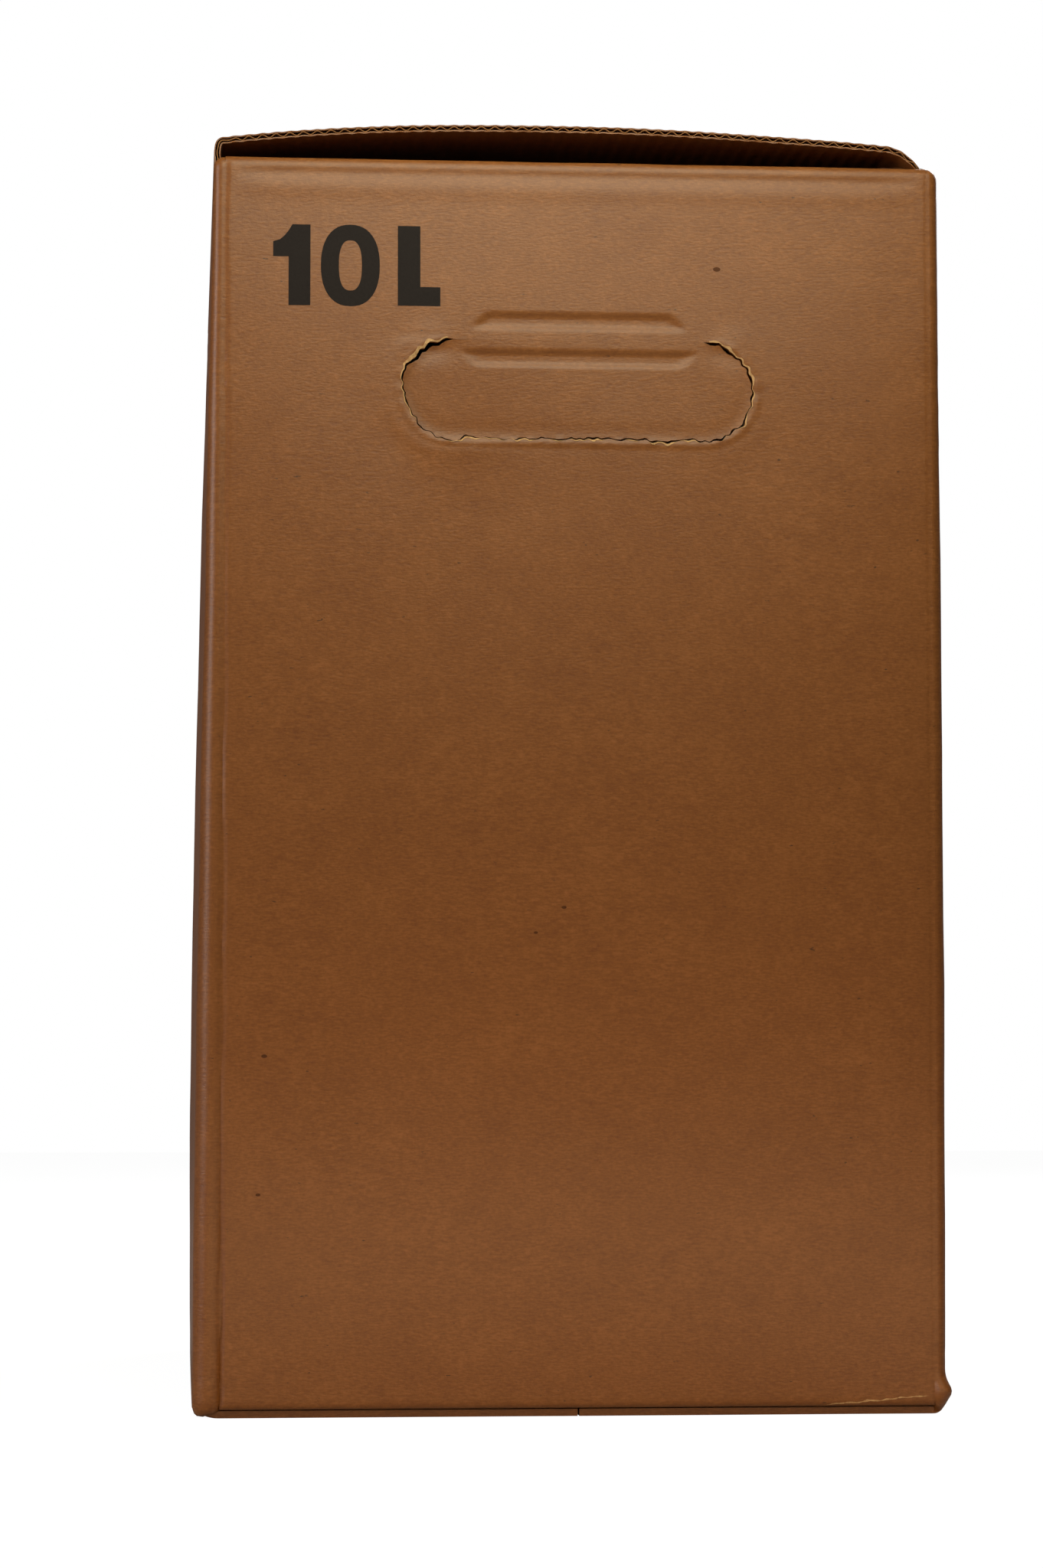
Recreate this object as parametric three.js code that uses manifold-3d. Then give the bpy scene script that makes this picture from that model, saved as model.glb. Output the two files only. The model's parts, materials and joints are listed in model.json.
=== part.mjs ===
// A bag in box carton: a sealed corrugated board carton that holds a filled ten litre bag with its tap.
// Millimetres, +Z up. The origin is the middle of the carton's underside, and a narrow panel with a
// hand hole faces -Y.
import * as THREE from "three";
import { mergeVertices } from "three/addons/utils/BufferGeometryUtils.js";
import Module from "manifold-3d";

// Board: fine-fluted kraft board, whose flutes run level round the walls.
const boardThickness = 1.7;
const linerThickness = 0.3;
const mediumThickness = 0.26;
const flutePitch = 3.3;
const fluteMargin = 2; // solid, crushed board at each end of a fluted run

// Carton, outside.
const cartonWidth = 175;
const cartonDepth = 245;
const cartonHeight = 300; // to the top of the narrow panels' folds
const cornerRadius = 4;
const foldRadius = 2.6;
const flapSlot = 3; // from a corner to the side edge of a flap
const layerGap = 0.3; // between folded layers, and between pieces that touch

// Flaps.
const minorFlapLength = 84;
const innerFlapClearance = 2; // from the inner top flap's free edge to the far wall
const bottomSeam = 1.5; // between the two bottom flaps that meet
const outerFlapShort = 4; // from the outer top flap's free edge to the far wall's face
const outerCreaseRise = 5; // top of the outer flap's crease, over the narrow panels' folds
const outerEndRise = 5.1; // top of its free edge, over the same
const outerSpringAngle = THREE.MathUtils.degToRad(7.5); // how far the flap springs up from level
const outerEndAngle = THREE.MathUtils.degToRad(5); // how far its free edge dips from level
const outerBow = 0.3; // length of the arch's two control arms, as a share of its span

// The manufacturer's joint: a glued tab inside one vertical corner.
const glueTabWidth = 32;
const glueTabSetIn = 6; // from the tab's ends to the folds
const jointGap = 1.2; // between the butting edges at that corner

// Hand holes, one in each narrow panel.
const handHoleWidth = 84;
const handHoleHeight = 24;
const handHoleDrop = 44; // from the panel's top fold to the hand flap's hinge
const handHoleCut = 0.3; // width of the cut round the hand flap
const creaseWidth = 4.2;
const creaseDepth = 0.55;
const upperCreaseRise = 4.6; // over the hinge, in the panel
const upperCreaseLength = 46;
const lowerCreaseDrop = 4.4; // under the hinge, in the hand flap
const lowerCreaseLength = 53;

// Tap knock-out: a perforated disc low in one wide panel.
const knockOutRadius = 25;
const knockOutHeight = 46; // centre, over the underside
const knockOutSlits = 18;
const slitWidth = 0.8;
const slitBridge = 1.8; // uncut board between two slits

// Clear packing tape that holds the outer flap's free edge down to the wide panel.
const tapeThickness = 0.2;
const tapeOnFlap = 24;
const tapeOnWall = 22;

// Filled bag.
const bagClearance = 0.5; // from the bag to the walls
const bagShoulderDrop = 9.5; // from the hand holes to the bag's top along the walls
const bagHeadspace = 4.5; // from the top minor flaps' underside to the bag's middle
const bagCrownPower = 1.2;
const bagFootRadius = 12;
const bagSquareness = 12;

// Spout and tap, which lie along +X behind the knock-out.
const spoutFlangeRadius = 25;
const spoutFlangeThickness = 1.6;
const spoutNeckRadius = 17;
const spoutNeckLength = 13;
const spoutWall = 1.8;
const spoutRibGap = 1.4; // from the flange to the rib
const spoutRibRadius = 19.5;
const spoutRibThickness = 1.6;
const tapSetBack = 2; // from the tap's front to the wall's inner face
const tapCollarRadius = 22;
const tapCollarWall = 2;
const tapCollarLength = 9;
const tapBarrelRadius = 11;
const tapBarrelLength = 17;
const tapNozzleRadius = 7;
const tapNozzleWall = 1.4;
const tapNozzleDrop = 24; // from the barrel's axis to the nozzle's end
const leverPivotRadius = 3;
const leverPegLength = 8;
const leverWidth = 12;
const leverLength = 26;
const leverThickness = 2.6;

// Derived sizes.
const halfWidth = cartonWidth / 2;
const halfDepth = cartonDepth / 2;
const innerFlapTop = cartonHeight + layerGap + boardThickness;
const minorBottom = boardThickness + layerGap; // underside of the bottom minor flaps
const bagFloor = minorBottom + boardThickness + layerGap;
const bagShoulder = cartonHeight - handHoleDrop - handHoleHeight - bagShoulderDrop;
const bagCrown = cartonHeight - boardThickness - bagHeadspace;
const hingeHeight = cartonHeight - handHoleDrop;
const minorFlapSpan = cartonWidth - 2 * flapSlot;
const majorFlapSpan = cartonDepth - 2 * flapSlot;
const legOverlap = 1; // how far a flap's leg reaches into the wall that it grows from
const ringTop = cartonHeight - foldRadius;
const ringBottom = minorBottom + foldRadius;
const tapFront = halfWidth - boardThickness - tapSetBack;
const barrelEnd = tapFront - leverThickness - layerGap;
const collarStart = barrelEnd - tapBarrelLength - tapCollarWall - tapCollarLength;
const spoutBack = barrelEnd - tapBarrelLength - tapCollarWall - layerGap - spoutNeckLength - spoutFlangeThickness;
const tapPocketRadius = Math.max(spoutFlangeRadius, tapNozzleDrop, leverLength) + 2;

const wasm = await Module();
wasm.setup();

// A three.js geometry as a solid that can be joined and cut.
function solid(geometry) {
  const bare = geometry.clone();
  bare.deleteAttribute("normal");
  bare.deleteAttribute("uv");
  const merged = mergeVertices(bare, 1e-4);
  return new wasm.Manifold(
    new wasm.Mesh({
      numProp: 3,
      vertProperties: new Float32Array(merged.attributes.position.array),
      triVerts: new Uint32Array(merged.index.array),
    }),
  );
}

// A solid as a named mesh.
function mesh(name, body, material) {
  const raw = body.getMesh();
  const geometry = new THREE.BufferGeometry();
  geometry.setAttribute("position", new THREE.BufferAttribute(new Float32Array(raw.vertProperties), 3));
  geometry.setIndex(new THREE.BufferAttribute(new Uint32Array(raw.triVerts), 1));
  geometry.computeVertexNormals();
  const made = new THREE.Mesh(geometry, material);
  made.name = name;
  return made;
}

function join(solids) {
  return solids.reduce((whole, piece) => whole.add(piece));
}

function cut(body, tools) {
  return tools.reduce((left, tool) => left.subtract(tool), body);
}

// A section drawn in X and Z, run along Y over the given length, centred on Y = 0.
function runAlongY(section, length, curveSegments = 5) {
  const points = section.getPoints(curveSegments);
  if (THREE.ShapeUtils.isClockWise(points)) points.reverse();
  const outline = new THREE.Shape(points);
  const geometry = new THREE.ExtrudeGeometry(outline, { depth: length, bevelEnabled: false });
  geometry.rotateX(Math.PI / 2);
  geometry.translate(0, length / 2, 0);
  return geometry;
}

// A section drawn in X and Y, run up Z between two heights.
function runUp(section, low, high, curveSegments = 6) {
  const geometry = new THREE.ExtrudeGeometry(section, {
    depth: high - low,
    bevelEnabled: false,
    curveSegments,
  });
  geometry.translate(0, 0, low);
  return geometry;
}

// A rectangle with round corners, centred on the origin.
function roundedRectangle(width, depth, radius, Outline = THREE.Shape) {
  const x = width / 2 - radius;
  const y = depth / 2 - radius;
  const outline = new Outline();
  outline.absarc(x, -y, radius, -Math.PI / 2, 0, false);
  outline.absarc(x, y, radius, 0, Math.PI / 2, false);
  outline.absarc(-x, y, radius, Math.PI / 2, Math.PI, false);
  outline.absarc(-x, -y, radius, Math.PI, 1.5 * Math.PI, false);
  outline.closePath();
  return outline;
}

// Section of a flap folded square off its wall. The wall's face is at X = 0, the board lies on +X,
// and the flap's upper face is at Z = top.
function squareFlapSection(legBottom, top, length) {
  const section = new THREE.Shape();
  section.moveTo(0, legBottom);
  section.lineTo(0, top - foldRadius);
  section.absarc(foldRadius, top - foldRadius, foldRadius, Math.PI, Math.PI / 2, true);
  section.lineTo(length, top);
  section.lineTo(length, top - boardThickness);
  section.absarc(foldRadius, top - foldRadius, foldRadius - boardThickness, Math.PI / 2, Math.PI, false);
  section.lineTo(boardThickness, legBottom);
  section.closePath();
  return section;
}

// The hollows between the liners and the waved medium, along a board whose middle line is given as a
// function from a distance to a point and a direction.
function fluteHollows(place, start, end) {
  const hollows = [];
  const linerFace = boardThickness / 2 - linerThickness;
  const wave = linerFace - mediumThickness / 2;
  const clear = mediumThickness / 2;
  const count = Math.floor((end - start) / flutePitch);
  const first = start + (end - start - count * flutePitch) / 2;
  for (let i = 0; i < 2 * count; i++) {
    const middle = first + (i / 2 + 0.5) * flutePitch;
    if (middle + flutePitch / 2 > end) break;
    const side = i % 2 === 0 ? 1 : -1;
    const hollow = new THREE.Shape();
    // Half a width along the board, and height towards the medium's trough.
    const corners = [
      [-0.36, linerFace],
      [-0.2, clear - wave * 0.3],
      [0, clear - wave],
      [0.2, clear - wave * 0.3],
      [0.36, linerFace],
    ];
    corners.forEach(([along, up], n) => {
      const { point, direction } = place(middle + along * flutePitch);
      const x = point.x - direction.y * up * side;
      const z = point.y + direction.x * up * side;
      if (n === 0) hollow.moveTo(x, z);
      else hollow.lineTo(x, z);
    });
    hollow.closePath();
    hollows.push(solid(runAlongY(hollow, majorFlapSpan + 2)));
  }
  return hollows;
}

// The outer top flap: it rises off the -X wall, springs up past its crease and bows over to the far side.
function outerFlap() {
  const creaseCentre = new THREE.Vector2(
    -halfWidth + foldRadius,
    cartonHeight + outerCreaseRise - foldRadius,
  );
  const rise = new THREE.Vector2(Math.cos(outerSpringAngle), Math.sin(outerSpringAngle));
  const dip = new THREE.Vector2(Math.cos(outerEndAngle), -Math.sin(outerEndAngle));
  const out = new THREE.Vector2(-rise.y, rise.x);
  const from = creaseCentre.clone().addScaledVector(out, foldRadius - boardThickness / 2);
  const to = new THREE.Vector2(
    halfWidth - outerFlapShort,
    cartonHeight + outerEndRise - boardThickness / 2,
  );
  const arm = outerBow * (to.x - from.x);
  const arch = new THREE.CubicBezierCurve(
    from,
    from.clone().addScaledVector(rise, arm),
    to.clone().addScaledVector(dip, -arm),
    to,
  );
  const steps = 24;
  const side = (offset) =>
    Array.from({ length: steps + 1 }, (_, i) => {
      const direction = arch.getTangent(i / steps);
      return arch
        .getPoint(i / steps)
        .addScaledVector(new THREE.Vector2(-direction.y, direction.x), offset);
    });
  const upper = side(boardThickness / 2);
  const lower = side(-boardThickness / 2).reverse();
  const turned = Math.PI / 2 + outerSpringAngle;
  const section = new THREE.Shape();
  section.moveTo(-halfWidth, ringTop - legOverlap);
  section.lineTo(-halfWidth, creaseCentre.y);
  section.absarc(creaseCentre.x, creaseCentre.y, foldRadius, Math.PI, turned, true);
  upper.slice(1).forEach((p) => section.lineTo(p.x, p.y));
  lower.slice(0, -1).forEach((p) => section.lineTo(p.x, p.y));
  section.absarc(creaseCentre.x, creaseCentre.y, foldRadius - boardThickness, turned, Math.PI, false);
  section.lineTo(-halfWidth + boardThickness, ringTop - legOverlap);
  section.closePath();
  const length = arch.getLength();
  const place = (distance) => ({
    point: arch.getPointAt(distance / length),
    direction: arch.getTangentAt(distance / length),
  });
  const hollows = fluteHollows(place, fluteMargin, length - fluteMargin / 2);
  return { body: cut(solid(runAlongY(section, majorFlapSpan)), hollows), edge: upper.at(-1), dip };
}

// The inner top flap: it folds square off the +X wall and lies flat over the minor flaps.
function innerFlap() {
  const length = cartonWidth - boardThickness - innerFlapClearance;
  const section = squareFlapSection(ringTop - legOverlap, innerFlapTop, length);
  const place = (distance) => ({
    point: new THREE.Vector2(distance, innerFlapTop - boardThickness / 2),
    direction: new THREE.Vector2(1, 0),
  });
  const hollows = fluteHollows(place, foldRadius + fluteMargin, length - fluteMargin / 2);
  return cut(solid(runAlongY(section, majorFlapSpan)), hollows).rotate([0, 0, 180]).translate([halfWidth, 0, 0]);
}

// A minor flap folded in off a narrow panel, at the top or turned over for the bottom.
function minorFlap(facing, atTop) {
  const top = atTop ? cartonHeight : cartonHeight - minorBottom;
  const section = squareFlapSection(cartonHeight - foldRadius - legOverlap, cartonHeight, minorFlapLength);
  const geometry = runAlongY(section, minorFlapSpan);
  if (!atTop) {
    geometry.translate(0, 0, -cartonHeight);
    geometry.rotateX(Math.PI);
    geometry.translate(0, 0, cartonHeight - top);
  }
  geometry.rotateZ(facing < 0 ? Math.PI / 2 : -Math.PI / 2);
  geometry.translate(0, facing * halfDepth, 0);
  return solid(geometry);
}

// A bottom major flap, which reaches the seam on the middle line.
function bottomMajorFlap(facing) {
  const section = squareFlapSection(-ringBottom - legOverlap, 0, halfWidth - bottomSeam / 2);
  const geometry = runAlongY(section, majorFlapSpan);
  geometry.rotateX(Math.PI);
  if (facing > 0) geometry.rotateZ(Math.PI);
  geometry.translate(facing * halfWidth, 0, 0);
  return solid(geometry);
}

// The four walls, bent round the vertical corners.
function walls() {
  const outline = roundedRectangle(cartonWidth, cartonDepth, cornerRadius);
  outline.holes.push(
    roundedRectangle(
      cartonWidth - 2 * boardThickness,
      cartonDepth - 2 * boardThickness,
      cornerRadius - boardThickness,
      THREE.Path,
    ),
  );
  return solid(runUp(outline, ringBottom, ringTop));
}

// The glued tab: it turns in off the rear panel at the +X corner and lies inside the +X wall.
function glueTab() {
  const height = ringTop - ringBottom - 2 * glueTabSetIn;
  const geometry = new THREE.BoxGeometry(boardThickness + layerGap, glueTabWidth, height);
  geometry.translate(
    halfWidth - boardThickness * 1.5 + layerGap / 2,
    halfDepth - cornerRadius - glueTabWidth / 2,
    (ringTop + ringBottom) / 2,
  );
  return solid(geometry);
}

// The gap in the outer layer where the +X wall's edge butts against the bend.
function jointGroove() {
  const geometry = new THREE.BoxGeometry(boardThickness, jointGap, cartonHeight);
  geometry.translate(
    halfWidth - boardThickness / 2 + layerGap,
    halfDepth - cornerRadius - jointGap / 2,
    cartonHeight / 2,
  );
  return solid(geometry);
}

// The hand hole's outline, in X and in height below its hinge, drawn smaller by an inset.
function handHoleOutline(inset) {
  const radius = handHoleHeight / 2 - inset;
  const x = handHoleWidth / 2 - handHoleHeight / 2;
  const outline = new THREE.Shape();
  outline.absarc(x, -handHoleHeight / 2, radius, -Math.PI / 2, Math.PI / 2, false);
  outline.absarc(-x, -handHoleHeight / 2, radius, Math.PI / 2, 1.5 * Math.PI, false);
  outline.closePath();
  return outline;
}

// A plate of the given outline that stands in a narrow panel, between two depths from its face.
function panelPlate(outline, facing, outer, inner) {
  const geometry = new THREE.ExtrudeGeometry(outline, {
    depth: inner - outer,
    bevelEnabled: false,
    curveSegments: 9,
  });
  geometry.rotateX(Math.PI / 2);
  geometry.translate(0, inner, 0);
  geometry.translate(0, -halfDepth, hingeHeight);
  if (facing > 0) geometry.rotateZ(Math.PI);
  return solid(geometry);
}

// A crease pressed into a narrow panel's face, at a height from the hand hole's hinge.
function creaseTool(facing, rise, length) {
  const radius = creaseWidth ** 2 / (8 * creaseDepth) + creaseDepth / 2;
  const geometry = new THREE.CylinderGeometry(radius, radius, length, 40);
  geometry.rotateZ(Math.PI / 2);
  geometry.translate(0, -halfDepth - radius + creaseDepth, hingeHeight + rise);
  if (facing > 0) geometry.rotateZ(Math.PI);
  return solid(geometry);
}

// A hand flap, which hangs in its hand hole from the crease along its top.
function handFlap(facing) {
  const plate = panelPlate(handHoleOutline(handHoleCut), facing, 0, boardThickness);
  return cut(plate, [creaseTool(facing, -lowerCreaseDrop, lowerCreaseLength)]);
}

// The ring of slits round the tap knock-out, cut through the +X wall.
function knockOutSlitTools() {
  const pitch = (2 * Math.PI) / knockOutSlits;
  const half = pitch / 2 - slitBridge / 2 / knockOutRadius;
  return Array.from({ length: knockOutSlits }, (_, i) => {
    const middle = (i + 0.5) * pitch;
    const slit = new THREE.Shape();
    slit.absarc(0, 0, knockOutRadius + slitWidth / 2, middle - half, middle + half, false);
    slit.absarc(0, 0, knockOutRadius - slitWidth / 2, middle + half, middle - half, true);
    slit.closePath();
    const geometry = new THREE.ExtrudeGeometry(slit, {
      depth: 3 * boardThickness,
      bevelEnabled: false,
      curveSegments: 3,
    });
    geometry.rotateX(Math.PI / 2);
    geometry.rotateZ(Math.PI / 2);
    geometry.translate(halfWidth - 2 * boardThickness, 0, knockOutHeight);
    return solid(geometry);
  });
}

// The whole folded blank, in one piece.
function carton(outer) {
  const blank = join([
    walls(),
    glueTab(),
    minorFlap(-1, true),
    minorFlap(1, true),
    minorFlap(-1, false),
    minorFlap(1, false),
    bottomMajorFlap(-1),
    bottomMajorFlap(1),
    innerFlap(),
    outer,
  ]);
  const holes = [-1, 1].map((facing) => panelPlate(handHoleOutline(0), facing, -1, boardThickness + 1));
  const creases = [-1, 1].map((facing) => creaseTool(facing, upperCreaseRise, upperCreaseLength));
  return cut(blank, [jointGroove(), ...holes, ...creases, ...knockOutSlitTools()]);
}

// The strip of clear tape: off the outer flap's top, over the gap and down the +X wall.
function closingTape(edge, dip) {
  const lift = layerGap + tapeThickness / 2;
  const up = new THREE.Vector2(-dip.y, dip.x);
  const overEdge = edge.clone().addScaledVector(up, lift);
  const start = overEdge.clone().addScaledVector(dip, -tapeOnFlap);
  const fold = new THREE.Vector2(halfWidth - foldRadius, innerFlapTop - foldRadius);
  const radius = foldRadius + lift;
  const reach = overEdge.clone().sub(fold);
  const touch = Math.atan2(reach.y, reach.x) - Math.acos(radius / reach.length());
  const arc = Array.from({ length: 4 }, (_, i) => {
    const angle = touch * (1 - i / 3);
    return new THREE.Vector2(fold.x + radius * Math.cos(angle), fold.y + radius * Math.sin(angle));
  });
  const line = [start, overEdge, ...arc, new THREE.Vector2(halfWidth + lift, innerFlapTop - tapeOnWall)];
  return solid(runAlongY(ribbonSection(line, tapeThickness), majorFlapSpan));
}

// A thin strip's section, as thick on both sides of a line of points.
function ribbonSection(line, thickness) {
  const side = (offset) =>
    line.map((point, i) => {
      const before = point.clone().sub(line[Math.max(i - 1, 0)]);
      const after = line[Math.min(i + 1, line.length - 1)].clone().sub(point);
      const a = (i === 0 ? after : before).normalize();
      const b = (i === line.length - 1 ? a : after).clone().normalize();
      const normal = new THREE.Vector2(-a.y - b.y, a.x + b.x).normalize();
      const stretch = 1 / Math.max(normal.dot(new THREE.Vector2(-a.y, a.x)), 0.5);
      return point.clone().addScaledVector(normal, offset * stretch);
    });
  return new THREE.Shape([...side(-thickness / 2), ...side(thickness / 2).reverse()]);
}

// A profile of radii and distances turned about the tap's axis, which runs along +X from its start.
function turned(profile, start, segments = 28) {
  const points = profile.map(([radius, along]) => new THREE.Vector2(radius, along));
  const geometry = new THREE.LatheGeometry(points, segments);
  geometry.rotateZ(-Math.PI / 2);
  geometry.translate(start, 0, knockOutHeight);
  return solid(geometry);
}

// The filled bag: it fills the carton's footprint, rounds off at its foot and domes up to its crown,
// and it is drawn in round the tap.
function bag() {
  const reachX = halfWidth - 2 * boardThickness - bagClearance;
  const reachY = halfDepth - boardThickness - bagClearance;
  const foot = bagFootRadius / reachY;
  const footSteps = 4;
  const crownSteps = 10;
  const profile = [new THREE.Vector2(0, bagFloor)];
  for (let i = 0; i <= footSteps; i++) {
    const angle = (i / footSteps) * (Math.PI / 2);
    const height = bagFloor + bagFootRadius * (1 - Math.cos(angle));
    profile.push(new THREE.Vector2(1 - foot + foot * Math.sin(angle), height));
  }
  for (let i = 0; i <= crownSteps; i++) {
    const share = 1 - i / crownSteps;
    const swell = Math.cos((share * Math.PI) / 2) ** bagCrownPower;
    profile.push(new THREE.Vector2(share, bagShoulder + (bagCrown - bagShoulder) * swell));
  }
  const geometry = new THREE.LatheGeometry(profile, 40);
  geometry.rotateX(Math.PI / 2);
  const position = geometry.getAttribute("position");
  for (let i = 0; i < position.count; i++) {
    const x = position.getX(i);
    const y = position.getY(i);
    const radius = Math.hypot(x, y);
    if (radius === 0) continue;
    const corner = (Math.abs(x) ** bagSquareness + Math.abs(y) ** bagSquareness) ** (1 / bagSquareness);
    const stretch = radius / corner;
    position.setXY(i, x * stretch * reachX, y * stretch * reachY);
  }
  const hollow = turned(
    [
      [0, 0],
      [tapPocketRadius, 0],
      [tapPocketRadius, halfWidth],
      [0, halfWidth],
    ],
    spoutBack - layerGap,
  );
  return cut(solid(geometry), [hollow]);
}

// The spout: a tube with a wide flange that is welded to the bag's film, and a rib behind the tap.
function spout() {
  const bore = spoutNeckRadius - spoutWall;
  const rib = spoutFlangeThickness + spoutRibGap;
  const end = spoutFlangeThickness + spoutNeckLength;
  return turned(
    [
      [bore, 0],
      [spoutFlangeRadius, 0],
      [spoutFlangeRadius, spoutFlangeThickness],
      [spoutNeckRadius, spoutFlangeThickness],
      [spoutNeckRadius, rib],
      [spoutRibRadius, rib],
      [spoutRibRadius, rib + spoutRibThickness],
      [spoutNeckRadius, rib + spoutRibThickness],
      [spoutNeckRadius, end],
      [bore, end],
      [bore, 0],
    ],
    spoutBack,
  );
}

// The tap: a collar that snaps over the spout, a barrel and a nozzle that points down.
function tapBody() {
  const collarInside = spoutNeckRadius + layerGap;
  const body = turned(
    [
      [0, tapCollarLength],
      [collarInside, tapCollarLength],
      [collarInside, 0],
      [tapCollarRadius, 0],
      [tapCollarRadius, tapCollarLength + tapCollarWall],
      [tapBarrelRadius, tapCollarLength + tapCollarWall],
      [tapBarrelRadius, tapCollarLength + tapCollarWall + tapBarrelLength],
      [0, tapCollarLength + tapCollarWall + tapBarrelLength],
    ],
    collarStart,
  );
  const nozzleAt = barrelEnd - tapBarrelLength / 2;
  const nozzle = (radius, top) => {
    const length = tapNozzleDrop + top;
    const geometry = new THREE.CylinderGeometry(radius, radius, length, 20);
    geometry.rotateX(Math.PI / 2);
    geometry.translate(nozzleAt, 0, knockOutHeight + top - length / 2);
    return solid(geometry);
  };
  const bore = nozzle(tapNozzleRadius - tapNozzleWall, -tapBarrelRadius / 2);
  const socket = turned(
    [
      [0, -leverPegLength - layerGap],
      [leverPivotRadius + layerGap, -leverPegLength - layerGap],
      [leverPivotRadius + layerGap, 1],
      [0, 1],
    ],
    barrelEnd,
  );
  return cut(body.add(nozzle(tapNozzleRadius, 0)), [bore.translate([0, 0, -1]), socket]);
}

// The tap's lever, a flat key whose peg turns in the barrel.
function tapLever() {
  const plate = new THREE.ExtrudeGeometry(roundedRectangle(leverWidth, leverLength, leverWidth / 2 - 0.5), {
    depth: leverThickness,
    bevelEnabled: false,
    curveSegments: 5,
  });
  plate.rotateX(Math.PI / 2);
  plate.rotateZ(Math.PI / 2);
  plate.translate(tapFront - leverThickness, 0, knockOutHeight + leverLength / 2 - leverWidth / 2);
  const peg = turned(
    [
      [0, -leverPegLength],
      [leverPivotRadius, -leverPegLength],
      [leverPivotRadius, leverThickness / 2],
      [0, leverThickness / 2],
    ],
    tapFront - leverThickness,
  );
  return solid(plate).add(peg);
}

const kraftBoard = () => new THREE.MeshStandardMaterial({ color: 0xa9794b, roughness: 0.88, metalness: 0 });
const clearTape = new THREE.MeshStandardMaterial({
  color: 0xd9dbd6,
  roughness: 0.15,
  metalness: 0,
  transparent: true,
  opacity: 0.4,
});
const bagFilm = new THREE.MeshStandardMaterial({ color: 0xc9cdd0, roughness: 0.3, metalness: 0 });
const spoutPlastic = new THREE.MeshStandardMaterial({ color: 0xe8e8e4, roughness: 0.4, metalness: 0 });
const tapPlastic = new THREE.MeshStandardMaterial({ color: 0x2a2a2c, roughness: 0.35, metalness: 0 });
const leverPlastic = new THREE.MeshStandardMaterial({ color: 0xb3262a, roughness: 0.35, metalness: 0 });

const topFlap = outerFlap();
const contents = new THREE.Group();
contents.add(
  mesh("filled_bag", bag(), bagFilm),
  mesh("spout", spout(), spoutPlastic),
  mesh("tap_body", tapBody(), tapPlastic),
  mesh("tap_lever", tapLever(), leverPlastic),
);

const part = new THREE.Group();
part.add(
  mesh("carton", carton(topFlap.body), kraftBoard()),
  mesh("hand_flap_front", handFlap(-1), kraftBoard()),
  mesh("hand_flap_rear", handFlap(1), kraftBoard()),
  mesh("closing_tape", closingTape(topFlap.edge, topFlap.dip), clearTape),
  contents,
);
export default part;
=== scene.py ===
"""Dresses a sealed bag in box carton: fluted kraft board, torn hand holes, clear tape and the bag inside."""

import json
import logging
import math
from dataclasses import dataclass, field
from enum import Enum
from typing import Callable, Sequence

import bpy
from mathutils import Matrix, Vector, noise

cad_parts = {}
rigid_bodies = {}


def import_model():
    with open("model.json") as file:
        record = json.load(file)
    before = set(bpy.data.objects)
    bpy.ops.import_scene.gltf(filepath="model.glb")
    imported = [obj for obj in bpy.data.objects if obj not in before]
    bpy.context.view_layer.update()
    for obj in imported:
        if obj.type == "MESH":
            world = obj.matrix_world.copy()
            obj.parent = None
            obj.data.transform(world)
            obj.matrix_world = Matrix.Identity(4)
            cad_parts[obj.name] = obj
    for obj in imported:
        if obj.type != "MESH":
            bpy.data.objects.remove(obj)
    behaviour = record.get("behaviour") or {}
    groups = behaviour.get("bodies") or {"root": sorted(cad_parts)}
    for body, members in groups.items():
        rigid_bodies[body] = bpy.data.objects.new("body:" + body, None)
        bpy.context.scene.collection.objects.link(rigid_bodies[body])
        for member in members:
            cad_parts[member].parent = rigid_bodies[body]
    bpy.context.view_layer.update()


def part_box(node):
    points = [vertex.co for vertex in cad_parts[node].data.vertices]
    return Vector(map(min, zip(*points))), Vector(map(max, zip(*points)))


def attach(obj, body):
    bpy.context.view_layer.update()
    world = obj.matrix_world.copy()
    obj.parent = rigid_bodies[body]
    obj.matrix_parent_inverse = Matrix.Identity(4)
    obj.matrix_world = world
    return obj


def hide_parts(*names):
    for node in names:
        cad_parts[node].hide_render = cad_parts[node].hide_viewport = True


LOG = logging.getLogger("carton")
MM = 0.001
QUARTER = math.pi / 2
Point2 = tuple[float, float]
Cell = list[Point2]
Walk = Callable[[float], tuple[Vector, Vector]]


class Side(Enum):
    """A wall of the carton, by its outward direction."""

    FRONT = (0, -1)
    RIGHT = (1, 0)
    REAR = (0, 1)
    LEFT = (-1, 0)

    @property
    def narrow(self) -> bool:
        """True for the two panels with a hand hole."""
        return self.value[0] == 0

    def place(self, along: float, out: float, up: float) -> Vector:
        """Puts a point of this wall in the model's frame.

        Args:
            along: Millimetres from the wall's middle, to the right as seen from outside.
            out: Millimetres from the model's upright axis, outwards.
            up: Millimetres above the ground.

        Returns:
            The point in metres.
        """
        x, y = self.value
        return Vector((x * out - y * along, y * out + x * along, up)) * MM


# Where each narrow panel's tear lies in the noise. Panel, flap and pale rim share it, so they match.
TEAR_SEEDS = {Side.FRONT: 1.0, Side.REAR: 40.0}


def fade(distance: float, soft: float) -> float:
    """Falls smoothly from 1 to 0 over a band of twice soft about distance 0."""
    t = min(max(0.5 - distance / (2 * soft), 0.0), 1.0)
    return t * t * (3 - 2 * t)


def hump(value: float, centre: float, width: float) -> float:
    """A bell of height 1 about centre."""
    return math.exp(-(((value - centre) / width) ** 2))


def ripple(x: float, y: float, z: float, scale: float) -> float:
    """Smooth seeded noise between about -1 and 1, whose lumps measure scale millimetres."""
    return noise.noise(Vector((x, y, z)) / scale)


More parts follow.
